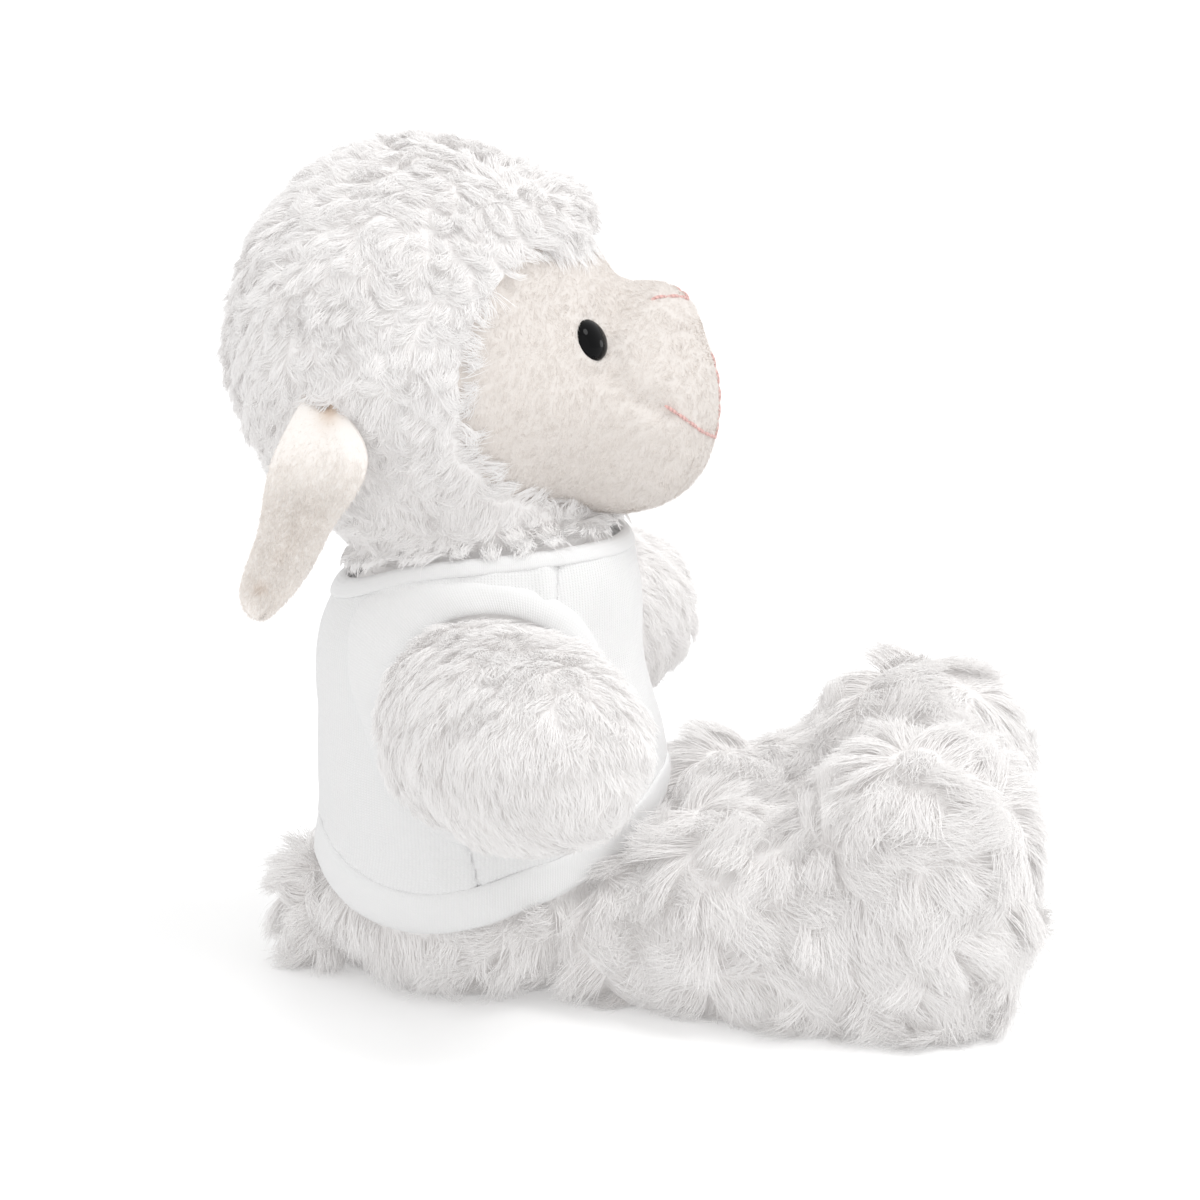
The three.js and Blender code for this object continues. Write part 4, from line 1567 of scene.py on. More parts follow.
    def build_eyes(self) -> None:
        """Makes the domed eyes with their rims and shanks, and dresses their washers."""
        rise = self.eye_dome - self.eye_rim
        arc = np.linspace(0, math.pi / 2, 20)
        dome = [(self.eye_radius * math.cos(a), self.eye_rim + rise * math.sin(a)) for a in arc]
        profile = [
            (0.01 * MM, -self.shank_length), (self.shank_radius, -self.shank_length), (self.shank_radius, 0),
            (self.eye_radius - self.eye_round, 0), (self.eye_radius, self.eye_round), *dome[:-1],
            (0.02 * MM, self.eye_dome),
        ]
        turn = np.linspace(0, 2 * math.pi, 64, endpoint=False)[:, None]
        for side in Side:
            at, out = self.eye_place(side)
            over = across(np.array([[0, 0, 1.0]]), out[None])[0]
            circle = np.cos(turn) * np.cross(over, out) + np.sin(turn) * over
            seat = at - out * self.eye_sunk
            rings = np.array([seat + out * height + radius * circle for radius, height in profile])
            eye = make_object(f"{side.word}_glass_eye", grid_cloth(rings, capped=True), self.finishes.eye)
            dressed(eye, "head", "eye", f"{side.word}_eye")
            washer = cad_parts[f"{side.word}_eye_washer"]
            washer.data.materials.clear()
            washer.data.materials.append(self.finishes.washer)

    def muzzle_line(self, route: tuple[Point, ...]) -> Array:
        """A line over the muzzle.

        Args:
            route: directions from the muzzle's middle, in shares of its half sizes.

        Returns:
            Places along the line, with its corners rounded off.
        """
        shares = np.array(route)
        fine = read_off(np.linspace(0, 1, 60), np.linspace(0, 1, len(shares)), shares)
        directions = unit(fine * np.array(MUZZLE.half))
        line = FACE.surface(np.array(MUZZLE.middle)[None].repeat(len(fine), 0), directions)
        kernel = np.array([1, 2, 3, 2, 1]) / 9
        inner = np.stack([np.convolve(line[:, k], kernel, "valid") for k in range(3)], axis=1)
        return np.concatenate([line[:1], inner, line[-1:]])

    def stitches(self, route: tuple[Point, ...]) -> Cloth:
        """A row of backstitches over the muzzle.

        Args:
            route: directions from the muzzle's middle, in shares of its half sizes.

        Returns:
            The thread's mesh, thin where it dips into the cloth.
        """
        line = self.muzzle_line(route)
        run = run_along(line)
        count = max(3, round(run[-1] / self.stitch))
        at = np.linspace(0, run[-1], count * 16 + 1)
        line = read_off(at, run, line)
        normal = FACE.outward(line)
        arch = np.sin(np.pi * ((at / run[-1] * count) % 1.0)) ** 0.35
        arch[0] = arch[-1] = 0
        middle = line + normal * ((-0.3 + 0.55 * arch) * MM)[:, None]
        radius = self.thread_radius * (0.62 + 0.38 * arch)
        way = unit(np.gradient(middle, axis=0))
        wide = np.cross(way, normal)
        over = np.cross(wide, way)
        turn = np.linspace(0, 2 * math.pi, self.thread_sides, endpoint=False)[None, :, None]
        ring = np.cos(turn) * wide[:, None] + 0.85 * np.sin(turn) * over[:, None]
        rings = middle[:, None] + ring * radius[:, None, None]
        first, last = (rings[k] * 0.02 + middle[k, None] * 0.98 for k in (slice(0, 1), slice(-1, None)))
        cloth = grid_cloth(np.concatenate([first, rings, last]), capped=True)
        length = np.concatenate([at[:1], at, at[-1:]])
        row, column = cloth.grid[:, :, 0], cloth.grid[:, :, 1]
        cloth.places = np.stack([length[row], column / self.thread_sides], axis=2)
        return cloth

    def build(self) -> None:
        """Makes the whole head."""
        self.build_cap()
        self.build_face()
        self.build_eyes()
        for name, routes in (("nose", (self.nose,)), ("mouth", (self.mouth, self.lip))):
            thread = join([self.stitches(route) for route in routes])
            piece = make_object(f"{name}_thread", thread, self.finishes.thread)
            dressed(piece, "head", "thread", f"{name}_stitching")


@dataclass
class Ear:
    """A floppy ear of two cloths, pinched at its root and bent over just below.

    Args:
        back_edge: its back outline, as (y, z) from root to tip in millimetres.
        front_edge: its front outline.
        stand: how far the ear's middle stands from the lamb's middle, from root to tip in millimetres.
        painted_hollow_shades: spots of painted shade in the ear's hollows, as (y, z), size and strength, in
            millimetres.
        roll: how far the front edge is rolled in below the root.
        pinch: how far the root is pinched.
        cup: how far the edges stand up lower down.
        crease: the depth of the slanting crease.
        pocket: the depth of the hollow near the tip.
        wave: how far the edges wave.
        head_gap: how far the ear lies off the head.
    """

    finishes: Finishes
    side: Side
    back_edge: Outline = (
        (36.3, 144.6), (38.6, 141), (40.6, 137), (42.4, 132.8), (43.8, 127.5), (44.6, 122), (45.4, 117),
        (47.2, 112), (49.2, 106.9), (50.2, 102.1), (49.4, 99), (47.6, 97), (45.6, 96.2))
    front_edge: Outline = (
        (31.2, 145), (28.4, 141.2), (25.2, 138.2), (22.8, 135.4), (21.6, 132), (22.2, 128.4), (24.4, 124.4),
        (27.4, 120.4), (30, 116.4), (32.6, 110.8), (35.8, 105.4), (39.4, 101), (42.8, 97.6), (45.4, 96.2))
    stand: Outline = (
        (0, 36), (0.05, 40), (0.12, 46), (0.2, 51.5), (0.3, 54.6), (0.37, 54.8), (0.5, 53.2), (0.75, 51.6),
        (1, 51.8))
    painted_hollow_shades: tuple[tuple[float, float, float, float], ...] = (
        (31, 141.5, 2.8, 0.85), (45.6, 103.1, 1.5, 0.45), (41, 110.6, 1.8, 0.16), (38, 114, 3, 0.08))
    thickness: float = 1.5 * MM
    gap: float = 0.3 * MM
    roll: float = 3.2 * MM
    pinch: float = 2.4 * MM
    cup: float = 1.6 * MM
    crease: float = 0.4 * MM
    pocket: float = 0.8 * MM
    wave: float = 0.5 * MM
    head_gap: float = 0.4 * MM
    nap_fibres: int = 26000
    nap_length: float = 1.0 * MM

    def edge(self, outline: Outline, share: Array) -> Array:
        """Places on an outline.

        Args:
            outline: its points in millimetres.
            share: how far along it, in shares of its length.

        Returns:
            The places as (y, z) in metres.
        """
        line = np.array(outline)
        last = len(line) - 1
        soft = softened(read_off(np.linspace(0, last, 200), np.arange(last + 1), line), 15)
        run = run_along(soft)
        return read_off(share * run[-1], run, soft) * MM

    def bends(self, s: Array, t: Array) -> Array:
        """How far the cloth leaves its plain plane in its roll, pinch, cup, crease, pocket and wave.

        Args:
            s: shares along the ear, from root to tip.
            t: places across it, -1 at the back edge and 1 at the front.

        Returns:
            A distance outward for each.
        """
        roll = -self.roll * smooth(0.55, 1.0, t) * np.exp(-(((s - 0.2) / 0.17) ** 2))
        pinch = -self.pinch * np.exp(-(((t - 0.15) / 0.5) ** 2)) * np.exp(-((s / 0.1) ** 2))
        cup = self.cup * t * t * smooth(0.3, 0.6, s)
        crease = -self.crease * np.exp(-(((t + 0.75 - 1.15 * s) / 0.2) ** 2)) * smooth(0.3, 0.5, s)
        pocket = -self.pocket * np.exp(-(((t + 0.2) / 0.4) ** 2)) * np.exp(-(((s - 0.87) / 0.06) ** 2))
        wave = self.wave * np.sin(5.2 * s + 1.0) * t
        return roll + pinch + cup + crease + pocket + wave

    def layer(self, near: float, rows: int = 96, columns: int = 48) -> Cloth:
        """One cloth of the ear, closed.

        Args:
            near: how far out its inner face lies.
            rows: faces along the ear.
            columns: faces across it.

        Returns:
            The mesh.
        """
        share = np.linspace(0, 1, rows + 1)
        turn = np.sin(np.linspace(-math.pi / 2, math.pi / 2, columns + 1))
        s, t = share[:, None], np.concatenate([turn, turn[::-1]])[None]
        outer = (np.arange(t.size) <= columns)[None]
        back, front = self.edge(self.back_edge, share), self.edge(self.front_edge, share)
        middle, half = (back + front) / 2, (front - back) / 2
        side_view = middle[:, None] + half[:, None] * t[0][None, :, None]
        end, closing = (
            np.sqrt(np.maximum(0.02, 1 - np.maximum(0, (s - (1 - tip)) / tip) ** 2)) for tip in (0.035, 0.07))
        bulge = 0.5 * self.thickness * np.sqrt(np.maximum(0, 1 - np.abs(t) ** 8)) * end
        between = self.thickness + self.gap / 2
        depth = between + (near + self.thickness / 2 - between) * closing + np.where(outer, bulge, -bulge)
        stand = softened(np.interp(share, *np.array(self.stand).T)[:, None], 11) * MM
        x = self.side.value * (stand + depth + self.bends(s, t))
        points = np.concatenate([x[..., None], side_view], axis=2)
        if self.side is Side.RIGHT:
            points = points[:, ::-1]
        cloth = grid_cloth(points, capped=True)
        cloth.tone[:] = 0.96
        # Painted shade: the pile darkens in the hollow at the pinched root, down the fold and in the pocket
        # near the tip.
        for y, z, size, strength in self.painted_hollow_shades:
            off = np.hypot(cloth.points[:, 1] - y * MM, cloth.points[:, 2] - z * MM)
            cloth.tone -= strength * np.exp(-((off / (size * MM)) ** 2))
        return cloth

    def nap(self, cloth: Cloth, outward: Array, rng: Random) -> Cloth:
        """The short fibres on a cloth.

        Args:
            cloth: the cloth.
            outward: the direction away from the other cloth.
            rng: the source of chance.

        Returns:
            Their mesh, carrying the painted shade of the cloth under them.
        """
        roots = scatter(cloth, self.nap_fibres, rng)
        tone = cloth.tone[nearest(roots, cloth.points)[0]]
        way = 0.5 * outward + np.array([0, 0.25, -0.7]) + rng.normal(0, 0.28, (len(roots), 3))
        lines = roots[:, None] + way[:, None] * np.array([0, self.nap_length])[:, None]
        lit = unit(outward + rng.normal(0, 0.12, roots.shape))
        nap = SHORT_PILE.cloth(lines, lit, rng, 0.9, 1.0)
        # Painted shade: each fibre takes the painted hollow shade of the cloth at its root.
        nap.tone *= tone.repeat(4)
        return nap

    def build(self) -> None:
        """Makes the ear's back and its lining, with their nap."""
        body = f"{self.side.word}_ear"
        layers = (
            ("back", 0.0, self.finishes.face, "face", -1.0),
            ("lining", self.thickness + self.gap, self.finishes.lining, "lining", 1.0))
        for seed, (name, near, material, slot, way) in enumerate(layers, 40):
            cloth = self.layer(near)
            cloth.points = HEAD.pushed_out(cloth.points, self.head_gap)
            piece = make_object(f"{body}_{name}_cloth", cloth, material)
            dressed(piece, body, slot, f"{body}_{name}")
            outward = np.array([self.side.value * way, 0, 0])
            nap = self.nap(cloth, outward, np.random.default_rng(seed))
            dressed(make_object(f"{body}_{name}_nap", nap, material), body, slot)


@dataclass
class Tee:
    """The sleeveless tee: two panels and four bands.

    Args:
        panel: the panels' thickness.
        band: the bands' thickness.
        neck_band: the neck band's height.
        hole_seam: where the armhole band's outer seam runs, as (y, z) in millimetres.
        side_seam: the side seam's depth at its foot, and how far it slants.
        shoulder_seam: the shoulder seam's depth.
        seam_change: the height, inside the armhole, where the one gives way to the other.
        tuck: how far the panels run under the armhole bands.
        edge_tuck: how far they run under the hem band and the neck band.
        girth: the length of the hem band and the neck band on the flat cloth.
        hole_girth: the length of an armhole band.
    """

    finishes: Finishes
    panel: float = 1.3 * MM
    band: float = 1.9 * MM
    neck_band: float = 3.6 * MM
    hem_band: float = 9.5 * MM
    hole_radius: float = 22.9 * MM
    hole_seam: Outline = (
        (22.4, 96.2), (27.6, 92.6), (29.8, 87), (29.6, 79.5), (26.6, 68), (22.4, 58.8), (14.5, 48.5), (4, 42),
        (-6, 41.2), (-15.5, 45), (-22.5, 52.5), (-27, 62), (-28.4, 73), (-27, 84), (-22.6, 92), (-15, 97.6),
        (-6, 99.8), (5, 99.8), (14, 98.8))
    side_seam: Pair = (-7.8 * MM, 0.215)
    shoulder_seam: float = -18.2 * MM
    seam_change: float = 70 * MM
    tuck: float = 1.6 * MM
    edge_tuck: float = 0.3 * MM
    girth: float = 262 * MM
    hole_girth: float = 165 * MM

    def on_torso(self, turn: Array, height: Array, swell: Array) -> Array:
        """Points round the torso.

        Args:
            turn: turns round it, from the front.
            height: their heights.
            swell: how far off the torso's form they lie.

        Returns:
            The points.
        """
        starts = np.stack([np.zeros_like(turn), np.zeros_like(turn), height], axis=1)
        rays = np.stack([np.sin(turn), -np.cos(turn), np.zeros_like(turn)], axis=1)
        return TORSO.surface(starts, rays, swell)

    def strip(self, turn: Array, low: Callable, high: Callable, part: Array, swell: Array) -> Array:
        """Points between two edges of the tee.

        Args:
            turn: turns round the torso.
            low: the lower edge's height over depth.
            high: the upper edge's.
            part: how far up between them, as a share.
            swell: how far off the torso's form.

        Returns:
            The points.
        """
        height = np.full(len(turn), 0.06)
        for _ in range(6):
            points = self.on_torso(turn, height, swell)
            bottom, top = low(points[:, 1]), high(points[:, 1])
            height = 0.3 * height + 0.7 * (bottom + (top - bottom) * part)
        return self.on_torso(turn, height, swell)

    def section(self, count: int, inner: float, outer: float, puff: float) -> tuple[Array, Array]:
        """A flat loop's cross-section.

        Args:
            count: points along each face.
            inner: how far in its inner face lies.
            outer: how far out its outer face lies.
            puff: how much its outer face swells in the middle.

        Returns:
            The share across the band and the swell, for each point round the loop.
        """
        part = (1 - np.cos(np.linspace(0, math.pi, count))) / 2
        bulge = np.sqrt(np.maximum(0, 1 - np.abs(2 * part - 1) ** 6))
        middle, half = (inner + outer) / 2, (outer - inner) / 2
        upper = middle + half * bulge + puff * np.sin(np.pi * part)
        lower = (middle - half * bulge)[::-1][1:-1]
        return np.concatenate([part, part[::-1][1:-1]]), np.concatenate([upper, lower])

    def seam_line(self, height: Array) -> Array:
        """Where the front meets the back, as a depth at a height."""
        side = self.side_seam[0] + self.side_seam[1] * np.minimum(height, 50 * MM)
        return np.where(height < self.seam_change, side, self.shoulder_seam)

    def folds(self, points: Array) -> Array:
        """How far the cloth stands off the torso in its soft folds and along its seams.

        Args:
            points: places on the torso.

        Returns:
            A distance outward for each.
        """
        y, z = points[:, 1], points[:, 2]
        soft = 0.5 * MM * Ripple(32 * MM, 71).at(points)[:, 0]
        soft = soft + 0.18 * MM * Ripple(9 * MM, 72).at(points)[:, 0]
        off = y - self.seam_line(z)
        seam = np.exp(-((off / (0.9 * MM)) ** 2))
        rows = np.sin(z / (0.62 * MM) + 1.5 * np.sin(y / (1.1 * MM)))
        pucker = np.exp(-np.abs(off) / (3.2 * MM)) * rows * (z < 60 * MM)
        lean = (y - 9.5 * MM) - 0.35 * (z - 38 * MM)
        ridge = np.exp(-((lean / (1.5 * MM)) ** 2)) * np.exp(-(((z - 37 * MM) / (6 * MM)) ** 2))
        drag = np.exp(-(((off - 3.2 * MM) / (1.8 * MM)) ** 2)) * smooth(88 * MM, 100 * MM, z)
        return soft - 0.75 * MM * seam + 0.22 * MM * pucker + 0.8 * MM * ridge + 0.8 * MM * drag

    def loop_cloth(
        self, points: Array, shares: Array, width: Array, girth: float, uneven: Ripple, rise: float,
    ) -> Cloth:
        """A band's mesh, a little uneven, with its places on the flat cloth.

        Args:
            points: places round the band, and round its section at each of them.
            shares: the share across the band of each place of the section.
            width: the band's width at each place round it.
            girth: the band's length.
            uneven: how it is uneven.
            rise: how much.

        Returns:
            The mesh.
        """
        points = points + TORSO.outward(points) * uneven.at(points) * rise
        cloth = grid_cloth(points.reshape(len(width), len(shares), 3), looped=True)
        row, column = cloth.grid[:, :, 0], cloth.grid[:, :, 1] % len(shares)
        across_band = shares[column] * width[row % len(width)]
        cloth.places = np.stack([row / len(width) * girth, across_band], axis=2)
        return cloth

    def band_piece(
        self, name: str, low: Shift, high: Shift, size: float,
    ) -> Piece:
        """A band that runs right round the torso between two edges.

        Args:
            name: the piece's name.
            low: the lower edge's height over depth.
            high: the upper edge's.
            size: the band's height.

        Returns:
            The piece.
        """
        columns = 240
        shares, swells = self.section(14, -self.panel, self.band - self.panel + 0.1 * MM, 0.25 * MM)
        turn = np.repeat(np.linspace(0, 2 * math.pi, columns, endpoint=False), len(shares))
        points = self.strip(turn, low, high, np.tile(shares, columns), np.tile(swells, columns))
        width = np.full(columns, size)
        cloth = self.loop_cloth(points, shares, width, self.girth, Ripple(15 * MM, 73), 0.15 * MM)
        return make_object(name, cloth, self.finishes.rib)

    def hole_band_piece(self, side: Side) -> Piece:
        """The band round an armhole, turned in at the arm.

        Args:
            side: which armhole it is.

        Returns:
            The piece.
        """
        columns = 180
        shares, swells = self.section(16, -self.panel, self.band - self.panel + 0.3 * MM, 0.5 * MM)
        turn = np.linspace(0, 2 * math.pi, columns, endpoint=False)
        circle = np.stack([np.cos(turn), np.sin(turn)], axis=1)
        inner = shoulder_point(side)[1:] + self.hole_radius * circle
        outer = SEAM_MIDDLE + self.seam_reach(turn)[:, None] * circle
        flat = (inner[:, None] + (outer - inner)[:, None] * shares[None, :, None]).reshape(-1, 2)
        starts = np.stack([np.zeros(len(flat)), flat[:, 0], flat[:, 1]], axis=1)
        rays = np.tile([side.value, 0.0, 0.0], (len(flat), 1))
        points = TORSO.surface(starts, rays, np.tile(swells, columns))
        width = np.linalg.norm(outer - inner, axis=1)
        cloth = self.loop_cloth(points, shares, width, self.hole_girth, Ripple(13 * MM, 74), 0.25 * MM)
        return make_object(f"tee_{side.word}_armhole_rib", cloth, self.finishes.rib)

    def seam_reach(self, turn: Array) -> Array:
        """How far the armhole's outer seam lies from the seam's middle.

        Args:
            turn: turns round that middle.

        Returns:
            A distance for each.
        """
        line = np.array(self.hole_seam) * MM - SEAM_MIDDLE
        angle = np.arctan2(line[:, 1], line[:, 0])
        order = np.argsort(angle)
        reach = np.hypot(line[:, 0], line[:, 1])[order]
        fine = np.linspace(-math.pi, math.pi, 361)
        even = np.interp(fine, angle[order], reach, period=2 * math.pi)
        kernel = np.ones(13) / 13
        even = np.convolve(np.concatenate([even[-7:-1], even, even[1:7]]), kernel, "valid")
        return np.interp(turn, fine, even, period=2 * math.pi)

    def panels(self) -> Cloth:
        """Both panels as one sheet, cut out at the armholes.

        Returns:
            The sheet's mesh.
        """
        columns, rows = 560, 120
        turn = np.linspace(-math.pi, math.pi, columns + 1)
        t, share = np.repeat(turn, rows + 1), np.tile(np.linspace(0, 1, rows + 1), columns + 1)
        plain = self.strip(
            t, lambda y: HEM_EDGE(y) + self.hem_band - self.edge_tuck,
            lambda y: COLLAR_EDGE(y) - self.neck_band + self.edge_tuck, share, np.zeros(len(t)))
        points = plain + TORSO.outward(plain) * self.folds(plain)[:, None]
        cloth = grid_cloth(points.reshape(columns + 1, rows + 1, 3), closed=False)
        cloth.places = np.stack([t * 40 * MM, plain[:, 2]], axis=1)[cloth.quads]
        off = cloth.middles()[:, 1:] - SEAM_MIDDLE
        away = np.hypot(off[:, 0], off[:, 1])
        return cloth.kept(away > self.seam_reach(np.arctan2(off[:, 1], off[:, 0])) - self.tuck)

    def panel_piece(self, name: str, cloth: Cloth) -> Piece:
        """A panel of the tee's thickness.

        Args:
            name: the piece's name.
            cloth: its outer face.

        Returns:
            The piece.
        """
        a, b, c, _ = cloth.corners()
        inside = np.array([0, 0, 60 * MM])
        faces_out = float((np.cross(b - a, c - a) * (a - inside)).sum()) > 0
        piece = make_object(name, cloth, self.finishes.tee)
        thick = piece.modifiers.new("thickness", "SOLIDIFY")
        thick.thickness = self.panel
        thick.offset = -1.0 if faces_out else 1.0
        return piece

    def stretched(self, piece: Piece, node: str) -> None:
        """Dresses a piece of the tee."""
        dressed(piece, "torso", "tee", node)

    def build(self) -> None:
        """Makes the panels and the bands."""
        whole = self.panels()
        middle = whole.middles()
        front = middle[:, 1] < self.seam_line(middle[:, 2])
        for name, keep in (("tee_front", front), ("tee_back", ~front)):
            panel = self.panel_piece(f"{name}_panel", whole.kept(keep))
            self.stretched(panel, name)
        neck = self.band_piece(
            "tee_neck_rib", lambda y: COLLAR_EDGE(y) - self.neck_band, COLLAR_EDGE, self.neck_band)
        self.stretched(neck, "tee_neck_band")
        hem = self.band_piece(
            "tee_hem_rib", HEM_EDGE, lambda y: HEM_EDGE(y) + self.hem_band, self.hem_band)
        self.stretched(hem, "tee_hem_band")
        for side in Side:
            hole = self.hole_band_piece(side)
            self.stretched(hole, f"tee_{side.word}_armhole_band")


@dataclass
class Torso:
    """The furry body under the tee, with the filling and the seat bag inside, and the plug in the neck.

    Args:
        spine: the line inside the body.
        rim_low: how far under the tee's neck edge the body ends.
        hollow: the radius of the hollow in which the head turns.
        hem_low: how far under the hem its fur starts.
        plug_spine: the line inside the plug.
        plug: the plug's form.
    """

    finishes: Finishes
    spine: Spine = field(default=Spine((mm(0, 2.5, 24), mm(0, -1.5, 92))))
    rim_low: float = 2.2 * MM
    hollow: float = 28.5 * MM
    hem_low: float = 1 * MM
    plug_spine: Spine = field(default=Spine((mm(0, 3, 100), NECK_POINT)))
    plug: Form = field(default=Form((ball(NECK_POINT, 15 * MM), ball(mm(0, 3, 96), 10 * MM))))

    def hollowed(self, points: Array) -> Array:
        """Cuts the body off inside the collar, with a hollow for the head.

        Args:
            points: places on the body.

        Returns:
            The places, moved down where they were too high.
        """
        away = np.hypot(points[:, 0], points[:, 1] - NECK_POINT[1])
        bowl = NECK_POINT[2] - np.sqrt(np.maximum(0, self.hollow**2 - away**2))
        rim = COLLAR_EDGE(points[:, 1]) - self.rim_low
        top = np.minimum(rim, np.where(away < self.hollow, bowl, REACH))
        return np.stack([points[:, 0], points[:, 1], np.minimum(points[:, 2], top)], axis=1)

    def build(self) -> None:
        """Makes the body's skin, its tufts below the hem, and the plug."""
        body = FurPart(
            "body", "torso", ("body_skin", "body_stuffing", "bean_pouch"),
            Skin(TORSO, self.spine, 112, 20, 24), BODY_PILE,
            swayed((0, 0.2, -0.9), 20 * MM, 0.5, 31), 31, sunk=3.6 * MM, lumpiness=0.4 * MM,
            keep=lambda p: p[:, 2] < HEM_EDGE(p[:, 1]) - self.hem_low, shape=self.hollowed)
        body.build(self.finishes.fur)
        rings = Skin(self.plug, self.plug_spine, 48, 6, 12).rings()
        flat = rings.reshape(-1, 3)
        flat = flat + self.plug.outward(flat) * Ripple(6 * MM, 3).at(flat) * 0.3 * MM
        plug = grid_cloth(flat.reshape(rings.shape), capped=True)
        piece = make_object("neck_plug", plug, self.finishes.filling)
        dressed(piece, "neck", "filling", "neck_stuffing")


@dataclass
class Limbs:
    """The arms, the legs and the tail.

    Args:
        arm_forward: how far each arm points forward, in degrees.
        arm_rise: how far it points up.
        arm_length: from its root to the paw's middle.
        arm_balls: its round lumps, as a share of its length and a radius in millimetres.
        armhole_fill: how much fuller the arm is at its armhole.
        paw_seam: the depth and the half width of the groove along the paw's seam.
        leg_root: the leg's lump at the hip, its middle for the left leg and its radius, in millimetres.
        leg_lumps: its other lumps, each a middle and half sizes: thigh, shin, heel, foot, instep and top
            of the thigh.
        tail_root: the middle of the tail's root.
        tail_low: the middle of its tuft.
    """

    finishes: Finishes
    arm_forward: dict[Side, float] = field(default_factory=lambda: {Side.RIGHT: 28.0, Side.LEFT: 33.0})
    arm_rise: dict[Side, float] = field(default_factory=lambda: {Side.RIGHT: 5.0, Side.LEFT: -3.0})
    arm_length: float = 40 * MM
    arm_balls: Outline = ((0, 22), (0.55, 23.2), (1, 19))
    armhole_fill: float = 1.1 * MM
    paw_seam: Pair = (2.4 * MM, 1.5 * MM)
    leg_root: tuple[Point, float] = ((24, -34, 16.5), 15)
    leg_lumps: tuple[tuple[Point, Point], ...] = (
        ((29, -58, 21), (20.5, 18, 20.5)),
        ((33, -78, 23), (22, 24, 22)),
        ((35.5, -100, 22.3), (23, 25, 23.5)),
        ((36, -103, 43.5), (23, 21, 21)),
        ((36, -95, 40), (21, 18, 21)),
        ((28, -53, 29.5), (15, 12.5, 18)),
    )
    tail_root: Point = mm(0, 39.03, 20)
    tail_low: Point = mm(0, 39.03, 14)

    def arm(self, side: Side) -> FurPart:
        """An arm that reaches out from its armhole.

        Args:
            side: which arm it is.

        Returns:
            The arm, not yet built.
        """
        name = f"{side.word}_arm"
        root = shoulder_point(side)
        turn, rise = math.radians(self.arm_forward[side]), math.radians(self.arm_rise[side])
        way = unit(np.array([side.value * math.cos(turn), -math.sin(turn), math.tan(rise)]))
        form = Form(tuple(
            ball(tuple(root + way * share * self.arm_length), radius * MM)
            for share, radius in self.arm_balls))
        end = root + way * self.arm_length
        spine = Spine((tuple(root), tuple(end)), (0, 0, 1))

        def flow(points: Array) -> Array:
            """Brushed along the arm and down."""
            return way * 0.35 + np.array([0, 0, -0.9]) + 0.4 * Ripple(18 * MM, 50).at(points, 3)

        def creased(points: Array) -> Array:
            """Draws the paw in along its seam, and fills the arm out to its armhole.

            Args:
                points: places on the arm.

            Returns:
                The places, moved.
            """
            depth, half = self.paw_seam
            at = smooth(6 * MM, 13 * MM, (points - end) @ way)
            over = points[:, 2] - end[2] - 1.5 * MM
            near = 1 - smooth(4 * MM, 14 * MM, (points - root) @ way)
            full = points + form.outward(points) * (near * self.armhole_fill)[:, None]
            return full - way * (at * np.exp(-((over / half) ** 2)) * depth)[:, None]

        return FurPart(
            name, name, (f"{name}_skin", f"{name}_stuffing"),
            Skin(form, spine, 136, 26, 34), ARM_PILE, flow, 51 + side.value,
            keep=lambda p: TORSO.distance(p) > -1 * MM, clear=lambda p: TORSO.pushed_out(p, 1.5 * MM),
            shape=creased)

    def leg(self, side: Side) -> FurPart:
        """A leg that lies forward, with its foot up.

        Args:
            side: which leg it is.

        Returns:
            The leg, not yet built.
        """

        def placed(place: Point) -> Point:
            """A place on this side's leg, from one of the left leg in millimetres."""
            return mm(side.value * place[0], place[1], place[2])

        name = f"{side.word}_leg"
        root = placed(self.leg_root[0])
        lumps = [Lump(placed(middle), mm(*half)) for middle, half in self.leg_lumps]
        shin, foot = lumps[1].middle, lumps[3].middle
        bend = np.array([foot[0], foot[1], shin[2]])
        part = np.linspace(0, 1, 24)[1:, None]
        curve = (1 - part) ** 2 * np.array(shin) + 2 * part * (1 - part) * bend + part**2 * np.array(foot)
        thigh = [tuple(np.array(root) + (np.array(shin) - np.array(root)) * s) for s in (0.25, 0.5, 0.75)]
        spine = Spine((root, *thigh, shin, *(tuple(point) for point in curve)))
        return FurPart(
            name, name, (f"{name}_skin", f"{name}_stuffing"),
            Skin(Form((ball(root, self.leg_root[1] * MM), *lumps)), spine, 128, 60, 28), LEG_PILE,
            swayed((0, -0.35, -0.8), 20 * MM, 0.8, 60), 61 + side.value, parted=2,
            keep=lambda p: TORSO.distance(p) > -1.5 * MM, clear=lambda p: TORSO.pushed_out(p, 1.5 * MM),
            share=lambda p: 1 + 0.4 * (1 - smooth(5 * MM, 16 * MM, p[:, 2])))

    def tail(self) -> FurPart:
        """The tuft of the tail.

        Returns:
            The tail, not yet built.
        """
        form = Form((ball(self.tail_root, 5 * MM), Lump(self.tail_low, mm(10, 7.5, 11))))
        return FurPart(
            "tail", "tail", ("tail_skin", "tail_stuffing"),
            Skin(form, Spine((self.tail_low, self.tail_root)), 48, 6, 14), TAIL_PILE,
            swayed((0, 0.6, -0.8), 12 * MM, 0.4, 70), 71, sunk=1 * MM, lumpiness=0.4 * MM,
            keep=lambda p: TORSO.distance(p) > -2 * MM, clear=lambda p: TORSO.pushed_out(p, 0.5 * MM))

    def build(self) -> None:
        """Makes every limb."""
        for side in Side:
            self.arm(side).build(self.finishes.fur)
            self.leg(side).build(self.finishes.fur)
        self.tail().build(self.finishes.fur)


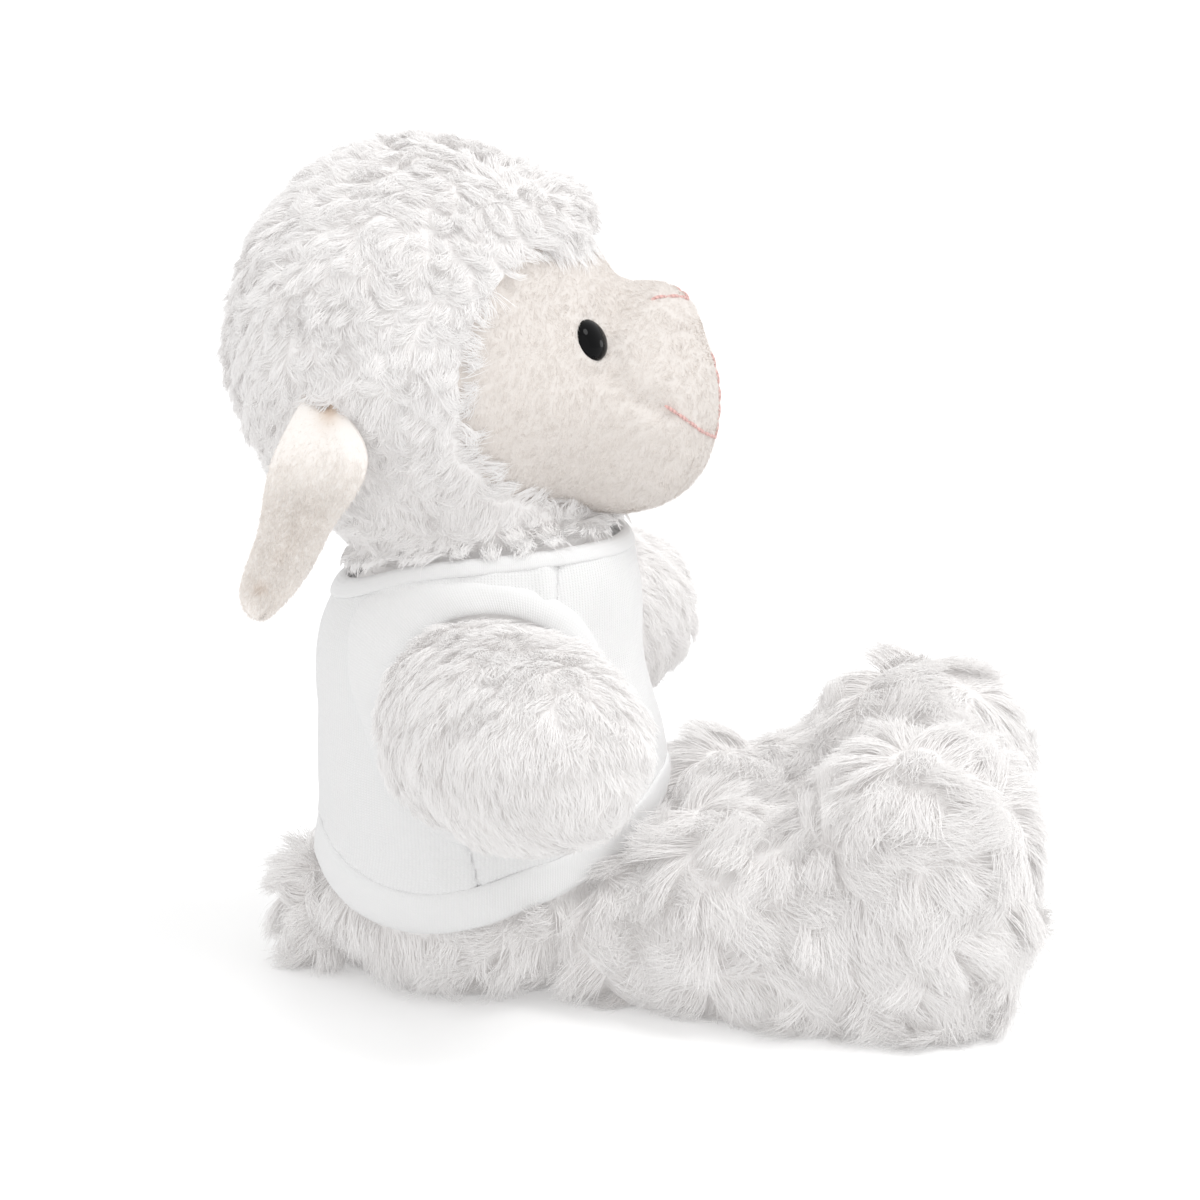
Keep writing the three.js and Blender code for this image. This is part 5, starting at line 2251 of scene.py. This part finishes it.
def seen_share(tree: Nodes) -> Socket:
    """1 for the rays that show a backdrop, straight, in a gloss or through glass, and 0 for the others.

    Args:
        tree: the tree that the nodes are made in.

    Returns:
        The socket.
    """
    seen = tree.nodes.new("ShaderNodeLightPath")
    either = sum_of(tree, "MAXIMUM", seen.outputs["Is Camera Ray"], seen.outputs["Is Glossy Ray"])
    return sum_of(tree, "MAXIMUM", either, seen.outputs["Is Transmission Ray"])


@dataclass
class Studio:
    """The floor, the light and the camera.

    Args:
        azimuth: where the camera stands round the lamb, in degrees.
        aim_right: how far right of the lamb's origin it aims.
        aim_up: how far above.
        floor_glow: how much whiter the floor is shown than it is lit.
        room: the world's strength where it lights the lamb.
        lamps: each lamp's name, the way to it, its strength and its width in degrees.
    """

    azimuth: float = -86.5
    elevation: float = 13.0
    distance: float = 1.1
    aim_right: float = 26.0 * MM
    aim_up: float = 86.3 * MM
    lens: float = 139.6
    floor_size: float = 12.0
    floor_grey: float = 0.86
    floor_glow: float = 0.25
    room: float = 0.9
    lamps: tuple[tuple[str, Point, float, float], ...] = (
        ("key_softbox", (-0.25, -0.5, 1.0), 0.78, 24.0),
        ("fill_softbox", (-1.0, -0.25, 0.3), 0.2, 70.0),
        ("front_softbox", (0.4, -0.915, 0.1), 0.16, 16.0),
    )

    def build_floor(self) -> None:
        """A plain pale floor that keeps the lamb's shadow."""
        mesh = bpy.data.meshes.new("floor")
        size, grey = self.floor_size, self.floor_grey
        corners = [(-size, -size, 0), (size, -size, 0), (size, size, 0), (-size, size, 0)]
        mesh.from_pydata(corners, [], [(0, 1, 2, 3)])
        floor = linked("floor", mesh)
        material = bpy.data.materials.new("Pale floor")
        material.use_nodes = True
        tree = material.node_tree
        shader = tree.nodes["Principled BSDF"]
        shader.inputs["Base Color"].default_value = (grey, grey, grey, 1)
        shader.inputs["Roughness"].default_value = 0.95
        shader.inputs["Specular IOR Level"].default_value = 0.1
        shader.inputs["Emission Color"].default_value = (1, 1, 1, 1)
        glow = sum_of(tree, "MULTIPLY", seen_share(tree), self.floor_glow)
        tree.links.new(glow, shader.inputs["Emission Strength"])
        mesh.materials.append(material)

    def build_light(self) -> None:
        """An even white room with a soft lamp above, one at the side and one in front."""
        world = bpy.data.worlds.new("studio")
        bpy.context.scene.world = world
        world.use_nodes = True
        tree = world.node_tree
        background = tree.nodes["Background"]
        background.inputs["Color"].default_value = (1, 1, 1, 1)
        strength = sum_of(tree, "MULTIPLY_ADD", seen_share(tree), 1 - self.room, self.room)
        tree.links.new(strength, background.inputs["Strength"])
        for name, place, strength, angle in self.lamps:
            lamp = bpy.data.lights.new(name, "SUN")
            lamp.energy = strength
            lamp.angle = math.radians(angle)
            holder = linked(name, lamp)
            holder.location = place
            holder.rotation_euler = Vector(place).to_track_quat("Z", "Y").to_euler()

    def build_camera(self) -> None:
        """The camera at the photograph's angle."""
        turn, rise = math.radians(self.azimuth), math.radians(self.elevation)
        back = Vector((math.sin(turn) * math.cos(rise), -math.cos(turn) * math.cos(rise), math.sin(rise)))
        right = Vector((0, 0, 1)).cross(back).normalized()
        up = back.cross(right)
        data = bpy.data.cameras.new("camera")
        data.lens = self.lens
        data.clip_start, data.clip_end = 0.05, 60
        camera = linked("camera", data)
        place = right * self.aim_right + up * self.aim_up + back * self.distance
        camera.matrix_world = Matrix((
            (right.x, up.x, back.x, place.x), (right.y, up.y, back.y, place.y),
            (right.z, up.z, back.z, place.z), (0, 0, 0, 1)))
        bpy.context.scene.camera = camera

    def build(self) -> None:
        """Sets the stage."""
        bpy.context.scene.view_settings.view_transform = "Standard"
        self.build_floor()
        self.build_light()
        self.build_camera()


def main() -> None:
    """Builds the lamb and its stage."""
    logging.basicConfig(level=logging.INFO, format="%(message)s")
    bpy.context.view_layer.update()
    finishes = Finishes.made()
    Studio().build()
    for part in (Torso(finishes), Tee(finishes), Limbs(finishes), Head(finishes)):
        part.build()
    for side in Side:
        Ear(finishes, side).build()


if __name__ == "__main__":
    main()
